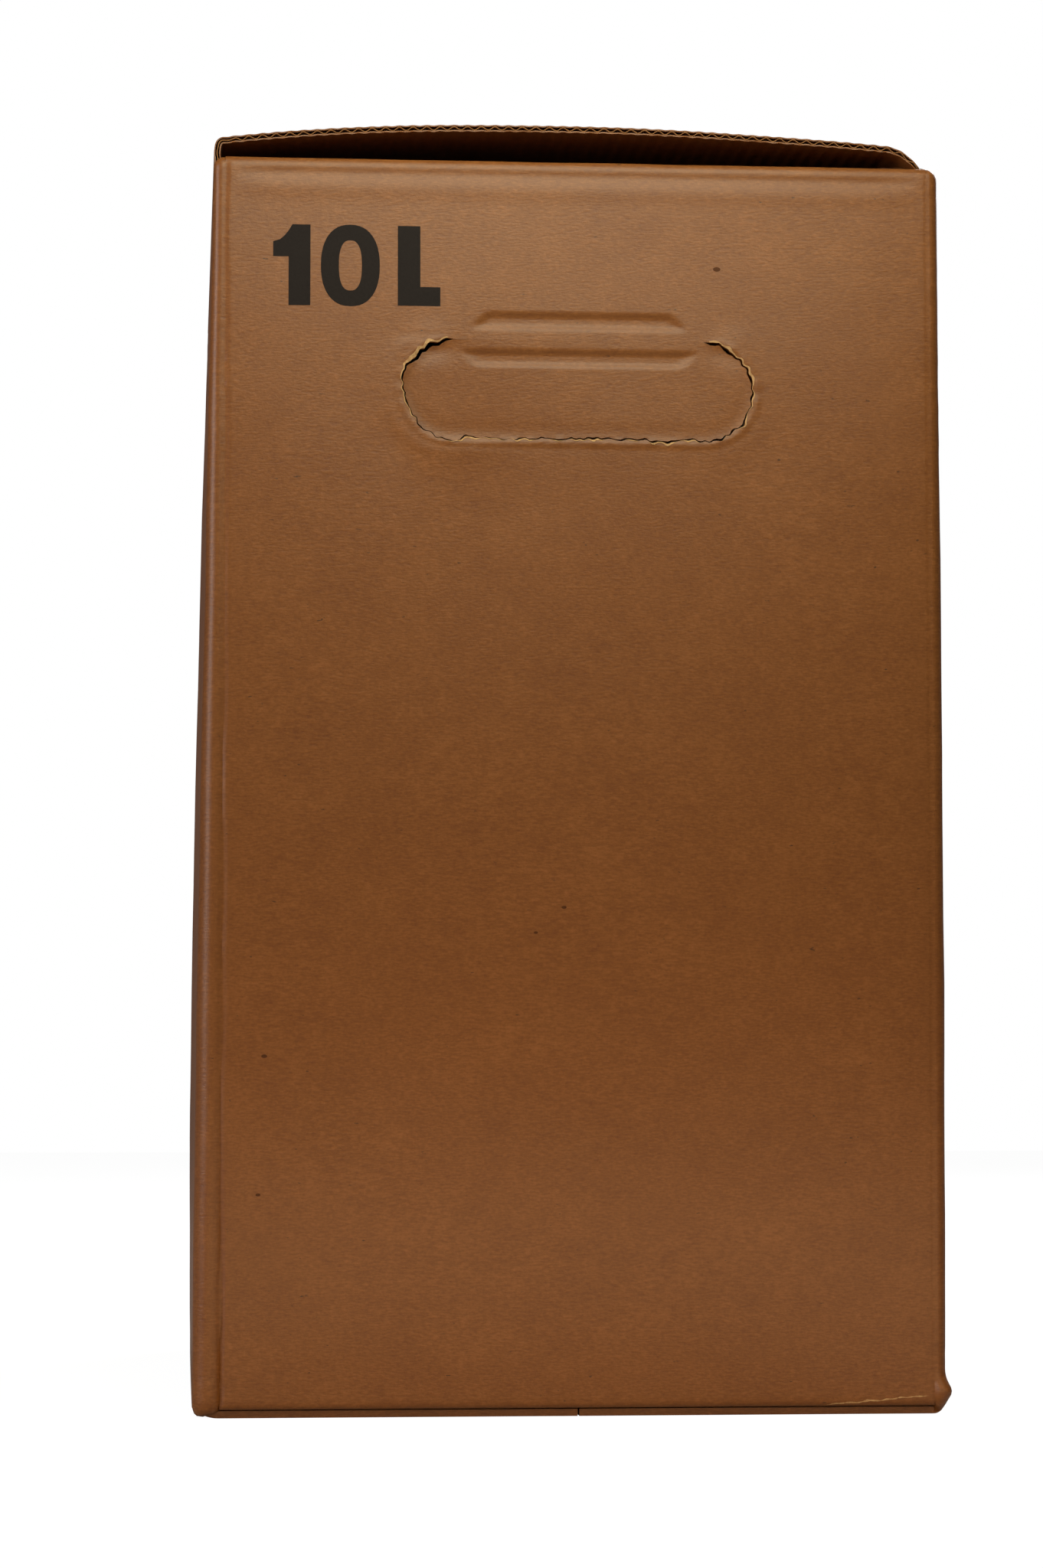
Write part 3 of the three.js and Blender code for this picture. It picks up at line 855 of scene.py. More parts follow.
@dataclass
class Blank:
    """The walls with the flaps that fold in square, as one sheet of board. Sizes are in millimetres."""

    board: Board
    relief: Relief
    cap_rows: int = 4  # in each rounded end of a corner
    corner_steps: int = 8
    fold_steps: int = 9
    foot_draw: float = 2.6  # how far a corner draws in at its foot
    head_draw: float = 2.8
    foot_lift: float = 2.2  # how far a corner's foot stays over the ground beside the narrow wall
    foot_slant: float = 1.8  # how much less beside the wide one
    head_drop: float = 0.1
    ear: float = 2.1  # how far the crushed ear stands out
    ear_height: float = 5.4
    ear_width: float = 2.6
    points: list[Vector] = field(default_factory=list)
    faces: list[tuple[int, ...]] = field(default_factory=list)

    def wall_rows(self) -> list[float]:
        """Spaces the mesh's rows, close together at the creases and the folds.

        Returns:
            Their heights.
        """
        hinge = self.relief.hole.hinge
        return steps(
            (self.board.ring_bottom, 16, 0.9),
            (16, hinge - 28, 8.0),
            (hinge - 28, hinge + 8, 0.6),
            (hinge + 8, self.board.height - 13, 4.0),
            (self.board.height - 13, self.board.ring_top, 0.6),
        )

    def columns(self, side: Side) -> list[float]:
        """Spaces the mesh's columns along a wall.

        Args:
            side: The wall.

        Returns:
            Their places.
        """
        half = self.board.half_span(side)
        if not side.narrow:
            return steps((-half, -half + 3, 0.5), (-half + 3, half - 3, 9.0), (half - 3, half, 0.5))
        hole = self.relief.hole.width / 2 + 4
        spacing = 0.9 if side is Side.FRONT else 1.8
        return steps(
            (-half, -half + 3, 0.5),
            (-half + 3, -hole, 4.5),
            (-hole, hole, spacing),
            (hole, half - 3, 4.5),
            (half - 3, half, 0.5),
        )

    def add_column(self, line: Sequence[Vector]) -> list[int]:
        """Adds a column of points.

        Args:
            line: The points, from the lowest to the highest.

        Returns:
            Their numbers.
        """
        start = len(self.points)
        self.points += line
        return list(range(start, len(self.points)))

    def join_columns(self, first: Sequence[int], second: Sequence[int]) -> None:
        """Fills the strip between two columns, the second to the right as seen from outside."""
        for i in range(min(len(first), len(second)) - 1):
            self.faces.append((first[i], second[i], second[i + 1], first[i + 1]))

    def rounded(self, rows: Sequence[float], wide: float) -> list[tuple[float, float]]:
        """Lengthens a corner's rows by its rounded ends, which close the corner beside the folds.

        Args:
            rows: The heights of the walls' rows.
            wide: The place round the corner, from 0 at the narrow wall to 1 at the wide one.

        Returns:
            For each row its height and how far it draws in.
        """
        board = self.board
        drop = board.ring_bottom - (self.foot_lift - self.foot_slant * wide)
        rise = board.height - board.ring_top - self.head_drop
        turns = [QUARTER * i / self.cap_rows for i in range(self.cap_rows, 0, -1)]
        power = 2 / board.square_foot
        foot = []
        for turn in turns:
            low, back = math.sin(turn) ** power, 1 - math.cos(turn) ** power
            foot.append((rows[0] - drop * low, self.foot_draw * back))
        top = [(rows[-1] + rise * math.sin(t), self.head_draw * (1 - math.cos(t))) for t in reversed(turns)]
        return foot + [(up, 0.0) for up in rows] + top

    def lump(self, before: Side, up: float) -> float:
        """How far a corner's middle stands out, with the crushed ear low in the front right one."""
        return 0.25 + (self.ear * hump(up, self.ear_height, self.ear_width) if before is Side.FRONT else 0.0)

    def corner_column(self, before: Side, after: Side, angle: float, rows: Sequence[float]) -> list[Vector]:
        """Makes a column of the rounded corner between two walls.

        Args:
            before: The first wall.
            after: The second wall.
            angle: How far the column has turned from the first wall's face.
            rows: The heights of the walls' rows.

        Returns:
            The column's points.
        """
        board = self.board
        share = angle / QUARTER
        line = []
        for up, shrink in self.rounded(rows, 1 - share if after.narrow else share):
            start = self.relief.out(before, board.half_span(before), up)
            end = self.relief.out(after, -board.half_span(after), up)
            grow = board.corner - shrink + start * (1 - share) + end * share
            grow += math.sin(math.pi * share) * self.lump(before, up) + 0.06 * ripple(share * 9, up, 0, 3.0)
            along = board.half_span(before) + grow * math.sin(angle)
            out = board.reach(before) - board.corner + grow * math.cos(angle)
            line.append(before.place(along, out, up))
        return line

    def add_corner(
        self, before: Side, after: Side, first: Sequence[int], last: Sequence[int], rows: Sequence[float]
    ) -> None:
        """Rounds the corner between two walls, from the first wall's last column to the second's first.

        Args:
            before: The first wall.
            after: The second wall.
            first: The numbers of the first wall's last column.
            last: The numbers of the second wall's first column.
            rows: The heights of the walls' rows.
        """
        columns = []
        for i in range(self.corner_steps + 1):
            line = self.corner_column(before, after, QUARTER * i / self.corner_steps, rows)
            if 0 < i < self.corner_steps:
                columns.append(self.add_column(line))
                continue
            low = self.add_column(line[: self.cap_rows])
            high = self.add_column(line[-self.cap_rows :])
            columns.append(low + list(first if i == 0 else last) + high)
        for one, two in zip(columns, columns[1:]):
            self.join_columns(one, two)

    def foot(self, side: Side, along: float) -> list[Vector]:
        """Folds the bottom flap below a wall's column.

        Args:
            side: The wall.
            along: The column's place.

        Returns:
            The points from the flap's free edge to the wall's first row.
        """
        board = self.board
        floor = board.thickness + board.gap if side.narrow else 0.0
        length = board.minor_length if side.narrow else board.width / 2 - board.bottom_seam / 2
        reach = board.reach(side)
        start = self.relief.out(side, along, board.ring_bottom)
        line = [side.place(along, reach - d, floor) for d in steps((length, board.fold, 12.0))]
        power = 2 / (board.tight_fold if side.narrow else 2.0)
        for i in range(1, self.fold_steps):
            angle = QUARTER * (1 - i / self.fold_steps)
            out = reach + start * i / self.fold_steps - board.fold * (1 - math.cos(angle) ** power)
            line.append(side.place(along, out, floor + board.fold * (1 - math.sin(angle) ** power)))
        if not side.narrow:
            line.append(side.place(along, reach + start, floor + board.fold))
        return line

    def head(self, side: Side, along: float) -> list[Vector]:
        """Folds the top minor flap above a narrow wall's column.

        Args:
            side: The wall.
            along: The column's place.

        Returns:
            The points from past the wall's last row to the flap's free edge.
        """
        board = self.board
        start = self.relief.out(side, along, board.ring_top)
        reach = board.reach(side)
        line = []
        for i in range(1, self.fold_steps + 1):
            share = i / self.fold_steps
            angle = QUARTER * i / self.fold_steps
            out = reach - board.fold + (board.fold + start * (1 - share)) * math.cos(angle)
            wave = 0.1 * ripple(along, 0, 3 * side.value[1], 16) * share
            line.append(side.place(along, out, board.ring_top + board.fold * math.sin(angle) + wave))
        stations = steps((board.fold + 4, board.minor_length, 10.0))
        return line + [side.place(along, reach - d, board.height) for d in stations]

    def build(self) -> bpy.types.Object:
        """Builds the sheet and gives it its thickness.

        Returns:
            The piece.
        """
        rows = self.wall_rows()
        order = list(Side)
        ends: dict[Side, tuple[list[int], list[int]]] = {}
        for side in order:
            reach = self.board.reach(side)
            ring: list[list[int]] = []
            previous: list[int] = []
            for along in self.columns(side):
                wall = [side.place(along, reach + self.relief.out(side, along, up), up) for up in rows]
                foot = self.foot(side, along)
                head = self.head(side, along) if side.narrow else []
                column = self.add_column(foot + wall + head)
                if previous:
                    self.join_columns(previous, column)
                previous = column
                ring.append(column[len(foot) : len(foot) + len(rows)])
            ends[side] = (ring[0], ring[-1])
        for side, after in zip(order, order[1:] + order[:1]):
            self.add_corner(side, after, ends[side][1], ends[after][0], rows)
        piece = make_piece("carton_walls", self.points, self.faces)
        thicken(piece, self.board.thickness)
        return piece


@dataclass
class FlutedFlap:
    """A major top flap of three bonded papers, whose flutes run from its front edge to its rear one."""

    board: Board
    name: str
    line: Walk
    length: float
    crushed: float  # length from the hinge end over which the flutes are flattened
    half_depth: Callable[[float], float]
    warp: Callable[[float, float, float], float]
    mirror: float = 1.0
    rows: int = 14
    per_flute: int = 10  # points in a flute's wave
    flattened: float = 0.25  # height of a crushed flute, as a share of an open one
    washboard: float = 0.075  # how far a liner sinks between the flute tips
    fray: float = 0.18

    def ribbon(self, offset: Callable[[float], float], thickness: float) -> tuple[list, list]:
        """Builds one paper of the board.

        Args:
            offset: The paper's distance above the board's middle, at a distance along it.
            thickness: The paper's thickness.

        Returns:
            Its points and faces.
        """
        count = int(self.length / self.board.pitch * self.per_flute)
        section = []
        for above in (0.5, -0.5):
            side = []
            for i in range(count + 1):
                s = self.length * i / count
                point, direction = self.line(s)
                lift = offset(s) + above * thickness
                side.append((point.x - direction.y * lift, point.y + direction.x * lift))
            section += side if above > 0 else side[::-1]
        n = len(section)
        points = []
        for row in range(self.rows + 1):
            for x, z in section:
                y = self.half_depth(x) * (2 * row / self.rows - 1)
                y += self.fray * ripple(x, z, row * 5, 1.7) if row in (0, self.rows) else 0.0
                points.append(Vector((x * self.mirror, y, z + self.warp(x, y, z))) * MM)
        faces = [f if self.mirror > 0 else f[::-1] for f in sheet_faces(self.rows + 1, n, closed=True)]
        for row in (0, self.rows):
            for i in range(count):
                a, b = row * n + i, row * n + i + 1
                c, d = row * n + n - 2 - i, row * n + n - 1 - i
                quad = (a, d, c, b)
                faces.append(quad if (row == 0) == (self.mirror > 0) else quad[::-1])
        return points, faces

    def build(self, liner: bpy.types.Material, fluting: bpy.types.Material) -> None:
        """Builds the two liners as one piece and the waved medium as another.

        Args:
            liner: The liners' material.
            fluting: The medium's material.
        """
        board = self.board
        high = board.thickness / 2 - board.liner - board.medium / 2
        middle = board.thickness / 2 - board.liner / 2

        def wave(s: float) -> float:
            """The medium's place between the liners, flattened near the hinge."""
            open_share = self.flattened + (1 - self.flattened) * fade(self.crushed - s, 2.0)
            return high * open_share * math.sin(2 * math.pi * s / board.pitch)

        def liner_place(sign: float) -> Callable[[float], float]:
            """The upper or lower liner's place, drawn in between the flute tips that hold it."""
            turn = 2 * math.pi
            return lambda s: sign * (middle - self.washboard * (1 - sign * math.sin(turn * s / board.pitch)))

        points, faces = self.ribbon(liner_place(1), board.liner)
        more, extra = self.ribbon(liner_place(-1), board.liner)
        faces += [tuple(i + len(points) for i in f) for f in extra]
        liners = make_piece(self.name + "_liners", points + more, faces)
        medium = make_piece(self.name + "_fluting", *self.ribbon(wave, board.medium))
        for piece, material in ((liners, liner), (medium, fluting)):
            shade_smooth(piece)
            dress(piece, "kraft_board", "carton", material)
            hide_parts("carton")


@dataclass
class TopClosure:
    """The two full-overlap top flaps and the tape that holds the outer one down, in mm and degrees."""

    board: Board
    relief: Relief
    crease_rise: float = 5.0  # top of the outer flap's crease, over the narrow panels' folds
    end_rise: float = 5.1  # top of its free edge, over the same
    spring: float = 7.5  # how far the flap springs up from level
    dip: float = 5.0  # how far its free edge dips from level
    bow: float = 0.3  # length of the arch's two control arms, as a share of its span
    short: float = 4.0  # from its free edge to the far wall's face
    leg: float = 0.5  # how far a flap's leg reaches below the walls' top
    leg_steps: int = 4
    fold_steps: int = 8
    arch_steps: int = 80
    flat_steps: int = 40
    outer_crushed: float = 11.0
    inner_crushed: float = 9.0
    inner_clearance: float = 2.0
    inner_narrow: float = 7.0
    inner_taper: float = 8.0
    tape_thickness: float = 0.08
    tape_gap: float = 0.12  # under the tape on the flap
    tape_wall_gap: float = 0.36  # and on the wall, where it lies over the fold's swelling
    tape_on_flap: float = 24.0
    tape_on_wall: float = 22.0
    tape_rows: int = 60
    tape_steps: int = 24
    curl_start: float = 8.5  # from the free edge
    curl_drop: float = 4.4
    curl_power: float = 2.2
    curl_corner: float = 28.0  # length of the crushed front corner

    def outer_line(self) -> tuple[Walk, float]:
        """Draws the outer flap's middle line, from its leg over the crease and the bow to its free edge.

        Returns:
            The line and its length.
        """
        board = self.board
        half = board.width / 2
        radius = board.middle_radius
        spring, dip = math.radians(self.spring), math.radians(self.dip)
        centre = Vector((-half + board.fold, board.height + self.crease_rise - board.fold))
        leg_start = Vector((-half + board.thickness / 2, board.ring_top - self.leg))
        turn = QUARTER - spring
        start = centre + Vector((-math.sin(spring), math.cos(spring))) * radius
        end = Vector((half - self.short, board.height + self.end_rise - board.thickness / 2))
        arm = self.bow * (end.x - start.x)
        grip = (
            start,
            start + Vector((math.cos(spring), math.sin(spring))) * arm,
            end - Vector((math.cos(dip), -math.sin(dip))) * arm,
            end,
        )
        leg_end = Vector((leg_start.x, centre.y))
        line = [leg_start.lerp(leg_end, i / self.leg_steps) for i in range(self.leg_steps)]
        for i in range(self.fold_steps + 1):
            angle = math.pi - turn * i / self.fold_steps
            line.append(centre + Vector((math.cos(angle), math.sin(angle))) * radius)
        for i in range(1, self.arch_steps + 1):
            t = i / self.arch_steps
            weights = ((1 - t) ** 3, 3 * t * (1 - t) ** 2, 3 * t * t * (1 - t), t**3)
            line.append(sum((p * w for p, w in zip(grip, weights)), Vector((0, 0))))
        return measured(line)

    def curl(self, x: float, y: float, z: float) -> float:
        """Bends the free edge down, most at its crushed front corner.

        Args:
            x: Millimetres to the right.
            y: Millimetres to the rear.
            z: Millimetres up, which makes no difference.

        Returns:
            How far the flap moves up.
        """
        past = x - (self.board.width / 2 - self.short - self.curl_start)
        if past <= 0:
            return 0.0
        front = 0.45 + 0.55 * fade(y + self.board.depth / 2 - self.curl_corner, 22)
        return -self.curl_drop * front * (past / self.curl_start) ** self.curl_power

    def outer(self) -> FlutedFlap:
        """Lays out the bowed outer flap, hinged on the left wall.

        Returns:
            The flap.
        """
        line, length = self.outer_line()
        reach = self.board.depth / 2 - self.board.slot

        def half_depth(x: float) -> float:
            """The flap's side edges are cut nearly straight."""
            return reach + 0.4 * ripple(x, 0, 0, 30)

        return FlutedFlap(self.board, "outer_flap", line, length, self.outer_crushed, half_depth, self.curl)

    def inner(self) -> FlutedFlap:
        """Lays out the flat inner flap, hinged on the right wall, cut in along its side edges.

        Returns:
            The flap, drawn mirrored.
        """
        board = self.board
        half = board.width / 2
        radius = board.middle_radius
        top = board.height + board.gap + board.thickness
        centre = Vector((-half + board.fold, top - board.fold))
        leg_start = Vector((-half + board.thickness / 2, board.ring_top - self.leg))
        line = [leg_start, Vector((centre.x - radius, centre.y))]
        for i in range(1, self.fold_steps + 1):
            angle = math.pi - QUARTER * i / self.fold_steps
            line.append(centre + Vector((math.cos(angle), math.sin(angle))) * radius)
        run = half - board.thickness - self.inner_clearance - centre.x
        for i in range(1, self.flat_steps + 1):
            line.append(Vector((centre.x + run * i / self.flat_steps, top - board.thickness / 2)))
        middle, length = measured(line)
        reach = board.depth / 2 - board.slot

        def half_depth(x: float) -> float:
            """The flap narrows away from its hinge."""
            return reach - self.inner_narrow - self.inner_taper * fade(-(x + half - 26), 22)

        def flat(x: float, y: float, z: float) -> float:
            """The flap lies flat."""
            return 0.0

        crushed = self.inner_crushed
        return FlutedFlap(board, "inner_flap", middle, length, crushed, half_depth, flat, mirror=-1.0)

    def tape(self) -> bpy.types.Object:
        """Builds the strip of clear tape over the outer flap's free edge and down the right wall.

        Returns:
            The piece.
        """
        board = self.board
        line, length = self.outer_line()
        half = board.width / 2
        lift = board.thickness / 2 + self.tape_gap
        path: list[Point2] = []
        for i in range(self.tape_steps + 1):
            point, direction = line(length - self.tape_on_flap * (1 - i / self.tape_steps))
            path.append((point.x - direction.y * lift, point.y + direction.x * lift))
        flap_points = len(path)
        lowest = board.height + 2 - self.tape_on_wall
        # Past the flap's free edge the tape turns down over the wall's fold.
        path += [(half - 0.5, board.height - 0.6), (half, board.height - 2.6)]
        path += [(half, up) for up in steps((board.height - 6, lowest, 4.0))]
        points = []
        reach = board.depth / 2 - board.slot - 0.8
        for row in range(self.tape_rows + 1):
            y = reach * (2 * row / self.tape_rows - 1)
            for n, (x, z) in enumerate(path):
                sink = self.curl(x, y, z) if n < flap_points else 0.0
                crumple = max(0.1 * ripple(x, y, z, 11.0) + 0.12 * ripple(x, y, z, 19.0), 0.0)
                up, out = crumple, 0.0
                if n >= flap_points:
                    up, out = 0.0, crumple + self.tape_wall_gap + self.relief.out(Side.RIGHT, y, z)
                points.append(Vector((x + out, y + 0.25 * ripple(x, 0, z, 2.0), z + sink + up)) * MM)
        piece = make_piece("closing_tape_strip", points, sheet_faces(self.tape_rows + 1, len(path)))
        thicken(piece, self.tape_thickness, offset=1.0)
        shade_smooth(piece)
        return piece


@dataclass
class HandFlap:
    """The flap in a hand hole, with its lower crease and its torn edge."""

    board: Board
    relief: Relief
    side: Side
    margin: float = 2.0  # of the plate that the flap is cut from
    through: float = 12.0  # how far the cutter stands out of the panel

    def pushed_in(self, along: float, up: float) -> float:
        """Works out how far the flap stands behind its panel, most at its lower left.

        Args:
            along: Where on the panel, from its middle.
            up: How high.

        Returns:
            Millimetres inwards.
        """
        hole = self.relief.hole
        below = min(max((hole.hinge - up) / hole.height, 0), 1)
        value = below * (0.3 + 0.75 * fade(along + 6, 26))
        value += 0.5 * hump(up, hole.hinge - 2.5, 3) * (hump(along, -36, 7) + 0.6 * hump(along, 38, 7))
        return value

    def build(self, liner: bpy.types.Material, torn: bpy.types.Material) -> bpy.types.Object:
        """Builds the flap as a plate that is cut out along the torn line, where it shows its fibres.

        Args:
            liner: The liner's material.
            torn: The torn fibre's material.

        Returns:
            The piece, with its materials.
        """
        board, hole, margin = self.board, self.relief.hole, self.margin
        columns = steps((-hole.width / 2 - margin, hole.width / 2 + margin, 1.1))
        turn = hole.hinge - 9
        rows = steps((hole.hinge - hole.height - margin, turn, 1.2), (turn, hole.hinge + margin, 0.5))
        reach = board.reach(self.side)
        points = []
        for along in columns:
            for up in rows:
                out = self.relief.out(self.side, along, up) - self.pushed_in(along, up)
                points.append(self.side.place(along, reach + out, up))
        name = "hand_flap_" + self.side.name.lower()
        piece = make_piece(name + "_board", points, sheet_faces(len(columns), len(rows), flip=True))
        thicken(piece, board.thickness)
        outline = hole.cut_line(-hole.clearance, -hole.gape, TEAR_SEEDS[self.side])
        outline = [(u, min(z, hole.hinge)) for u, z in outline]
        cutter = prism("flap_outline", outline, self.side, reach, self.through)
        for each in (piece, cutter):
            each.data.materials.append(liner)
            each.data.materials.append(torn)
        for face in cutter.data.polygons:
            face.material_index = 1
        cut_with(piece, cutter, "INTERSECT")
        shade_smooth(piece)
        return piece


def split(piece: Sequence[Point2], axis: int, cut: float) -> list[Cell]:
    """Cuts a cell by a level or upright line; a cell with a notch is cut where the line crosses it.

    Args:
        piece: The cell.
        axis: 0 for an upright line, 1 for a level one.
        cut: The line's place.

    Returns:
        The part on either side.
    """
    halves = []
    for keep in (-1, 1):
        half: Cell = []
        for i, a in enumerate(piece):
            b = piece[(i + 1) % len(piece)]
            side_a, side_b = (a[axis] - cut) * keep, (b[axis] - cut) * keep
            if side_a >= 0:
                half.append(a)
            if side_a * side_b < 0:
                half.append(between(a, b, side_a / (side_a - side_b)))
        if len(half) > 2:
            halves.append(half)
    return halves


@dataclass
class Marks:
    """The plain capacity mark and the specks, which lie on a narrow panel's face. Sizes are in mm."""

    board: Board
    relief: Relief
    base: float = 263.7  # height of the mark's foot
    cap: float = 19.6  # its own height
    lift: float = 0.05
    cell: float = 2.5
    bands: int = 4  # cells across the figure 0's stroke
    tear_start: Point2 = (58.7, 2.4)
    tear_end: Point2 = (83.2, 4.5)
    tear_width: float = 0.36
    specks: tuple[tuple[float, float, float], ...] = (
        (33.4, 274.0, 0.9),
        (-74.6, 84.8, 0.7),
        (-75.9, 52.3, 0.6),
        (-3.9, 120.0, 0.6),
        (-10.6, 114.0, 0.5),
    )

    def one(self) -> Cell:
        """Draws the figure 1, with its flag.

        Returns:
            The outline, anticlockwise.
        """
        left, stem, right = -73.3, -69.6, -64.4
        notch, under = 4.2, 7.8
        top = self.base + self.cap
        flag = [(left + 4.6 * t, top - notch + notch * t * t) for t in (1.0, 0.8, 0.6, 0.35, 0.0)]
        foot = [(stem, self.base), (right, self.base), (right, top)]
        return [*foot, *flag, (left, top - under), (stem, top - under)]

    def ell(self) -> Cell:
        """Draws the letter L for litres.

        Returns:
            The outline, anticlockwise.
        """
        left, stem, right, foot = -43.5, -38.1, -33.3, 4.6
        low, top = self.base + 0.2, self.base + self.cap
        return [(left, low), (right, low), (right, low + foot), (stem, low + foot), (stem, top), (left, top)]

    @staticmethod
    def oval(centre: Point2, half_width: float, half_height: float, count: int, power: float) -> Cell:
        """Draws a closed oval.

        Args:
            centre: Its centre.
            half_width: Half of its width.
            half_height: Half of its height.
            count: How many points it has.
            power: 2 for an ellipse, more for a squarer one.

        Returns:
            The outline, anticlockwise.
        """
        line = []
        for i in range(count):
            angle = 2 * math.pi * i / count
            c, s = math.cos(angle), math.sin(angle)
            x = math.copysign(abs(c) ** (2 / power), c) * half_width
            y = math.copysign(abs(s) ** (2 / power), s) * half_height
            line.append((centre[0] + x, centre[1] + y))
        return line

    def nought(self) -> list[Cell]:
        """Draws the figure 0 between two ovals.

        Returns:
            Its cells.
        """
        centre = (-54.85, self.base + self.cap / 2)
        outer = self.oval(centre, 7.05, self.cap / 2 + 0.1, 48, 2.3)
        inner = self.oval(centre, 2.75, 6.1, 48, 2.5)
        rings = []
        for k in range(self.bands + 1):
            rings.append([between(a, b, k / self.bands) for a, b in zip(outer, inner)])
        cells = []
        for ring, closer in zip(rings, rings[1:]):
            for i in range(len(ring)):
                j = (i + 1) % len(ring)
                cells.append([ring[i], ring[j], closer[j], closer[i]])
        return cells

    def fill(self, outline: Sequence[Point2]) -> list[Cell]:
        """Splits an outline into small cells by straight cuts, so that it follows the panel.

        Args:
            outline: The outline, anticlockwise.

        Returns:
            The cells.
        """
        pieces = [list(outline)]
        for axis in (0, 1):
            low, high = min(p[axis] for p in outline), max(p[axis] for p in outline)
            for cut in steps((low, high, self.cell))[1:-1]:
                pieces = [part for piece in pieces for part in split(piece, axis, cut)]
        return pieces

    def torn_line(self) -> list[Cell]:
        """Draws the thin ragged line where the top liner has torn beside the crushed ear.

        Returns:
            Its cells.
        """
        count = 60
        edge = []
        for i in range(count + 1):
            t = i / count
            u, z = between(self.tear_start, self.tear_end, t)
            z += 0.35 * ripple(u, 0, 8, 2.6)
            rough = 0.35 + abs(ripple(u, 3, 8, 1.3)) * 2
            half = self.tear_width / 2 * rough * min(t * 12, (1 - t) * 12, 1)
            edge.append(((u, z - half), (u, z + half)))
        return [[a[0], b[0], b[1], a[1]] for a, b in zip(edge, edge[1:])]

    def lay(self, name: str, side: Side, cells: Sequence[Cell]) -> bpy.types.Object:
        """Lays flat cells on a panel as a thin film.

        Args:
            name: The piece's name.
            side: The panel.
            cells: The cells, anticlockwise.

        Returns:
            The piece.
        """
        board = self.board
        reach = board.reach(side)
        points, faces = [], []
        for cell in cells:
            faces.append(tuple(range(len(points), len(points) + len(cell))))
            for u, z in cell:
                below = max(board.ring_bottom - z, 0.0) / board.fold
                round_in = board.fold * (1 - (1 - below**board.tight_fold) ** (1 / board.tight_fold))
                points.append(side.place(u, reach + self.relief.out(side, u, z) + self.lift - round_in, z))
        piece = make_piece(name, points, faces)
        weld = piece.modifiers.new("weld", "WELD")
        weld.merge_threshold = 0.01 * MM
        apply_modifiers(piece)
        thicken(piece, self.lift * 0.8)
        return piece

    def build(self, torn: bpy.types.Material) -> None:
        """Prints the capacity mark, bares the torn liner and sets the specks.

        Args:
            torn: The torn fibre's material.
        """
        ink, speck = INK.material(), SPECK.material()
        layers: list[tuple[str, Side, list[Cell], bpy.types.Material]] = []
        for side in TEAR_SEEDS:
            cells = self.fill(self.one()) + self.fill(self.ell()) + self.nought()
            layers.append(("capacity_mark_" + side.name.lower(), side, cells, ink))
        for side, seed in TEAR_SEEDS.items():
            layers.append(("torn_rim_" + side.name.lower(), side, self.relief.hole.rim(seed), torn))
        layers.append(("torn_liner_line", Side.FRONT, self.torn_line(), torn))
        for n, (u, z, size) in enumerate(self.specks):
            layers.append((f"speck_{n}", Side.FRONT, [self.oval((u, z), size, size * 0.6, 14, 2.0)], speck))
        for name, side, cells, material in layers:
            dress(self.lay(name, side, cells), "kraft_board", "carton", material)


@dataclass
class KnockOut:
    """The perforated ring in the right wall, behind which the tap lies. Sizes are in millimetres."""

    count: int = 18
    radius: float = 25.0
    height: float = 46.0
    width: float = 0.8
    bridge: float = 1.8  # uncut board between two slits
    through: float = 6.0  # how far the cutters stand out of the wall

    def slit(self, number: int) -> Cell:
        """Draws one slit.

        Args:
            number: Which slit, anticlockwise from the rear.

        Returns:
            The outline, anticlockwise.
        """
        pitch = 2 * math.pi / self.count
        half = pitch / 2 - self.bridge / 2 / self.radius
        middle = (number + 0.5) * pitch
        line = []
        for radius, turn in ((self.radius + self.width / 2, 1), (self.radius - self.width / 2, -1)):
            for i in range(5):
                angle = middle + turn * half * (i / 2 - 1)
                line.append((radius * math.cos(angle), self.height + radius * math.sin(angle)))
        return line


@dataclass
class Carton:
    """The dressed carton: walls, top closure, hand flaps and marks."""

    liner: bpy.types.Material
    torn: bpy.types.Material
    fluting: bpy.types.Material
    board: Board = field(default_factory=Board)
    hole: HandHole = field(default_factory=HandHole)
    knock_out: KnockOut = field(default_factory=KnockOut)
    relief: Relief = field(init=False)

    def __post_init__(self) -> None:
        """Works out the walls' relief."""
        self.relief = Relief(self.board, self.hole)

    def build_walls(self) -> None:
        """Builds the walls and cuts the hand holes and the tap knock-out's slits."""
        walls = Blank(self.board, self.relief).build()
        cuts = []
        for side, seed in TEAR_SEEDS.items():
            outline = self.hole.cut_line(self.hole.clearance, self.hole.gape, seed)
            outline[0], outline[-1] = (outline[0][0], self.hole.hinge), (outline[-1][0], self.hole.hinge)
            cuts.append(prism("hole_outline", outline, side, self.board.reach(side), HandFlap.through))
        reach = self.board.reach(Side.RIGHT)
        for n in range(self.knock_out.count):
            cuts.append(prism("slit", self.knock_out.slit(n), Side.RIGHT, reach, self.knock_out.through))
        cut_with(walls, merge(cuts), "DIFFERENCE")
        shade_smooth(walls)
        dress(walls, "kraft_board", "carton", self.liner)
        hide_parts("carton")

    def build_flaps(self) -> None:
        """Builds the top flaps, their tape and the hand flaps."""
        closure = TopClosure(self.board, self.relief)
        closure.outer().build(self.liner, self.fluting)
        closure.inner().build(self.liner, self.fluting)
        tape = closure.tape()
        dress(tape, "clear_tape", "carton", TAPE.material())
        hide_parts("closing_tape")
        for side, body in ((Side.FRONT, "front_hand_flap"), (Side.REAR, "rear_hand_flap")):
            flap = HandFlap(self.board, self.relief, side).build(self.liner, self.torn)
            dress(flap, "kraft_board", body)
            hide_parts("hand_flap_" + side.name.lower())

    def build(self) -> None:
        """Builds the whole carton."""
        self.build_walls()
        self.build_flaps()
        Marks(self.board, self.relief).build(self.torn)


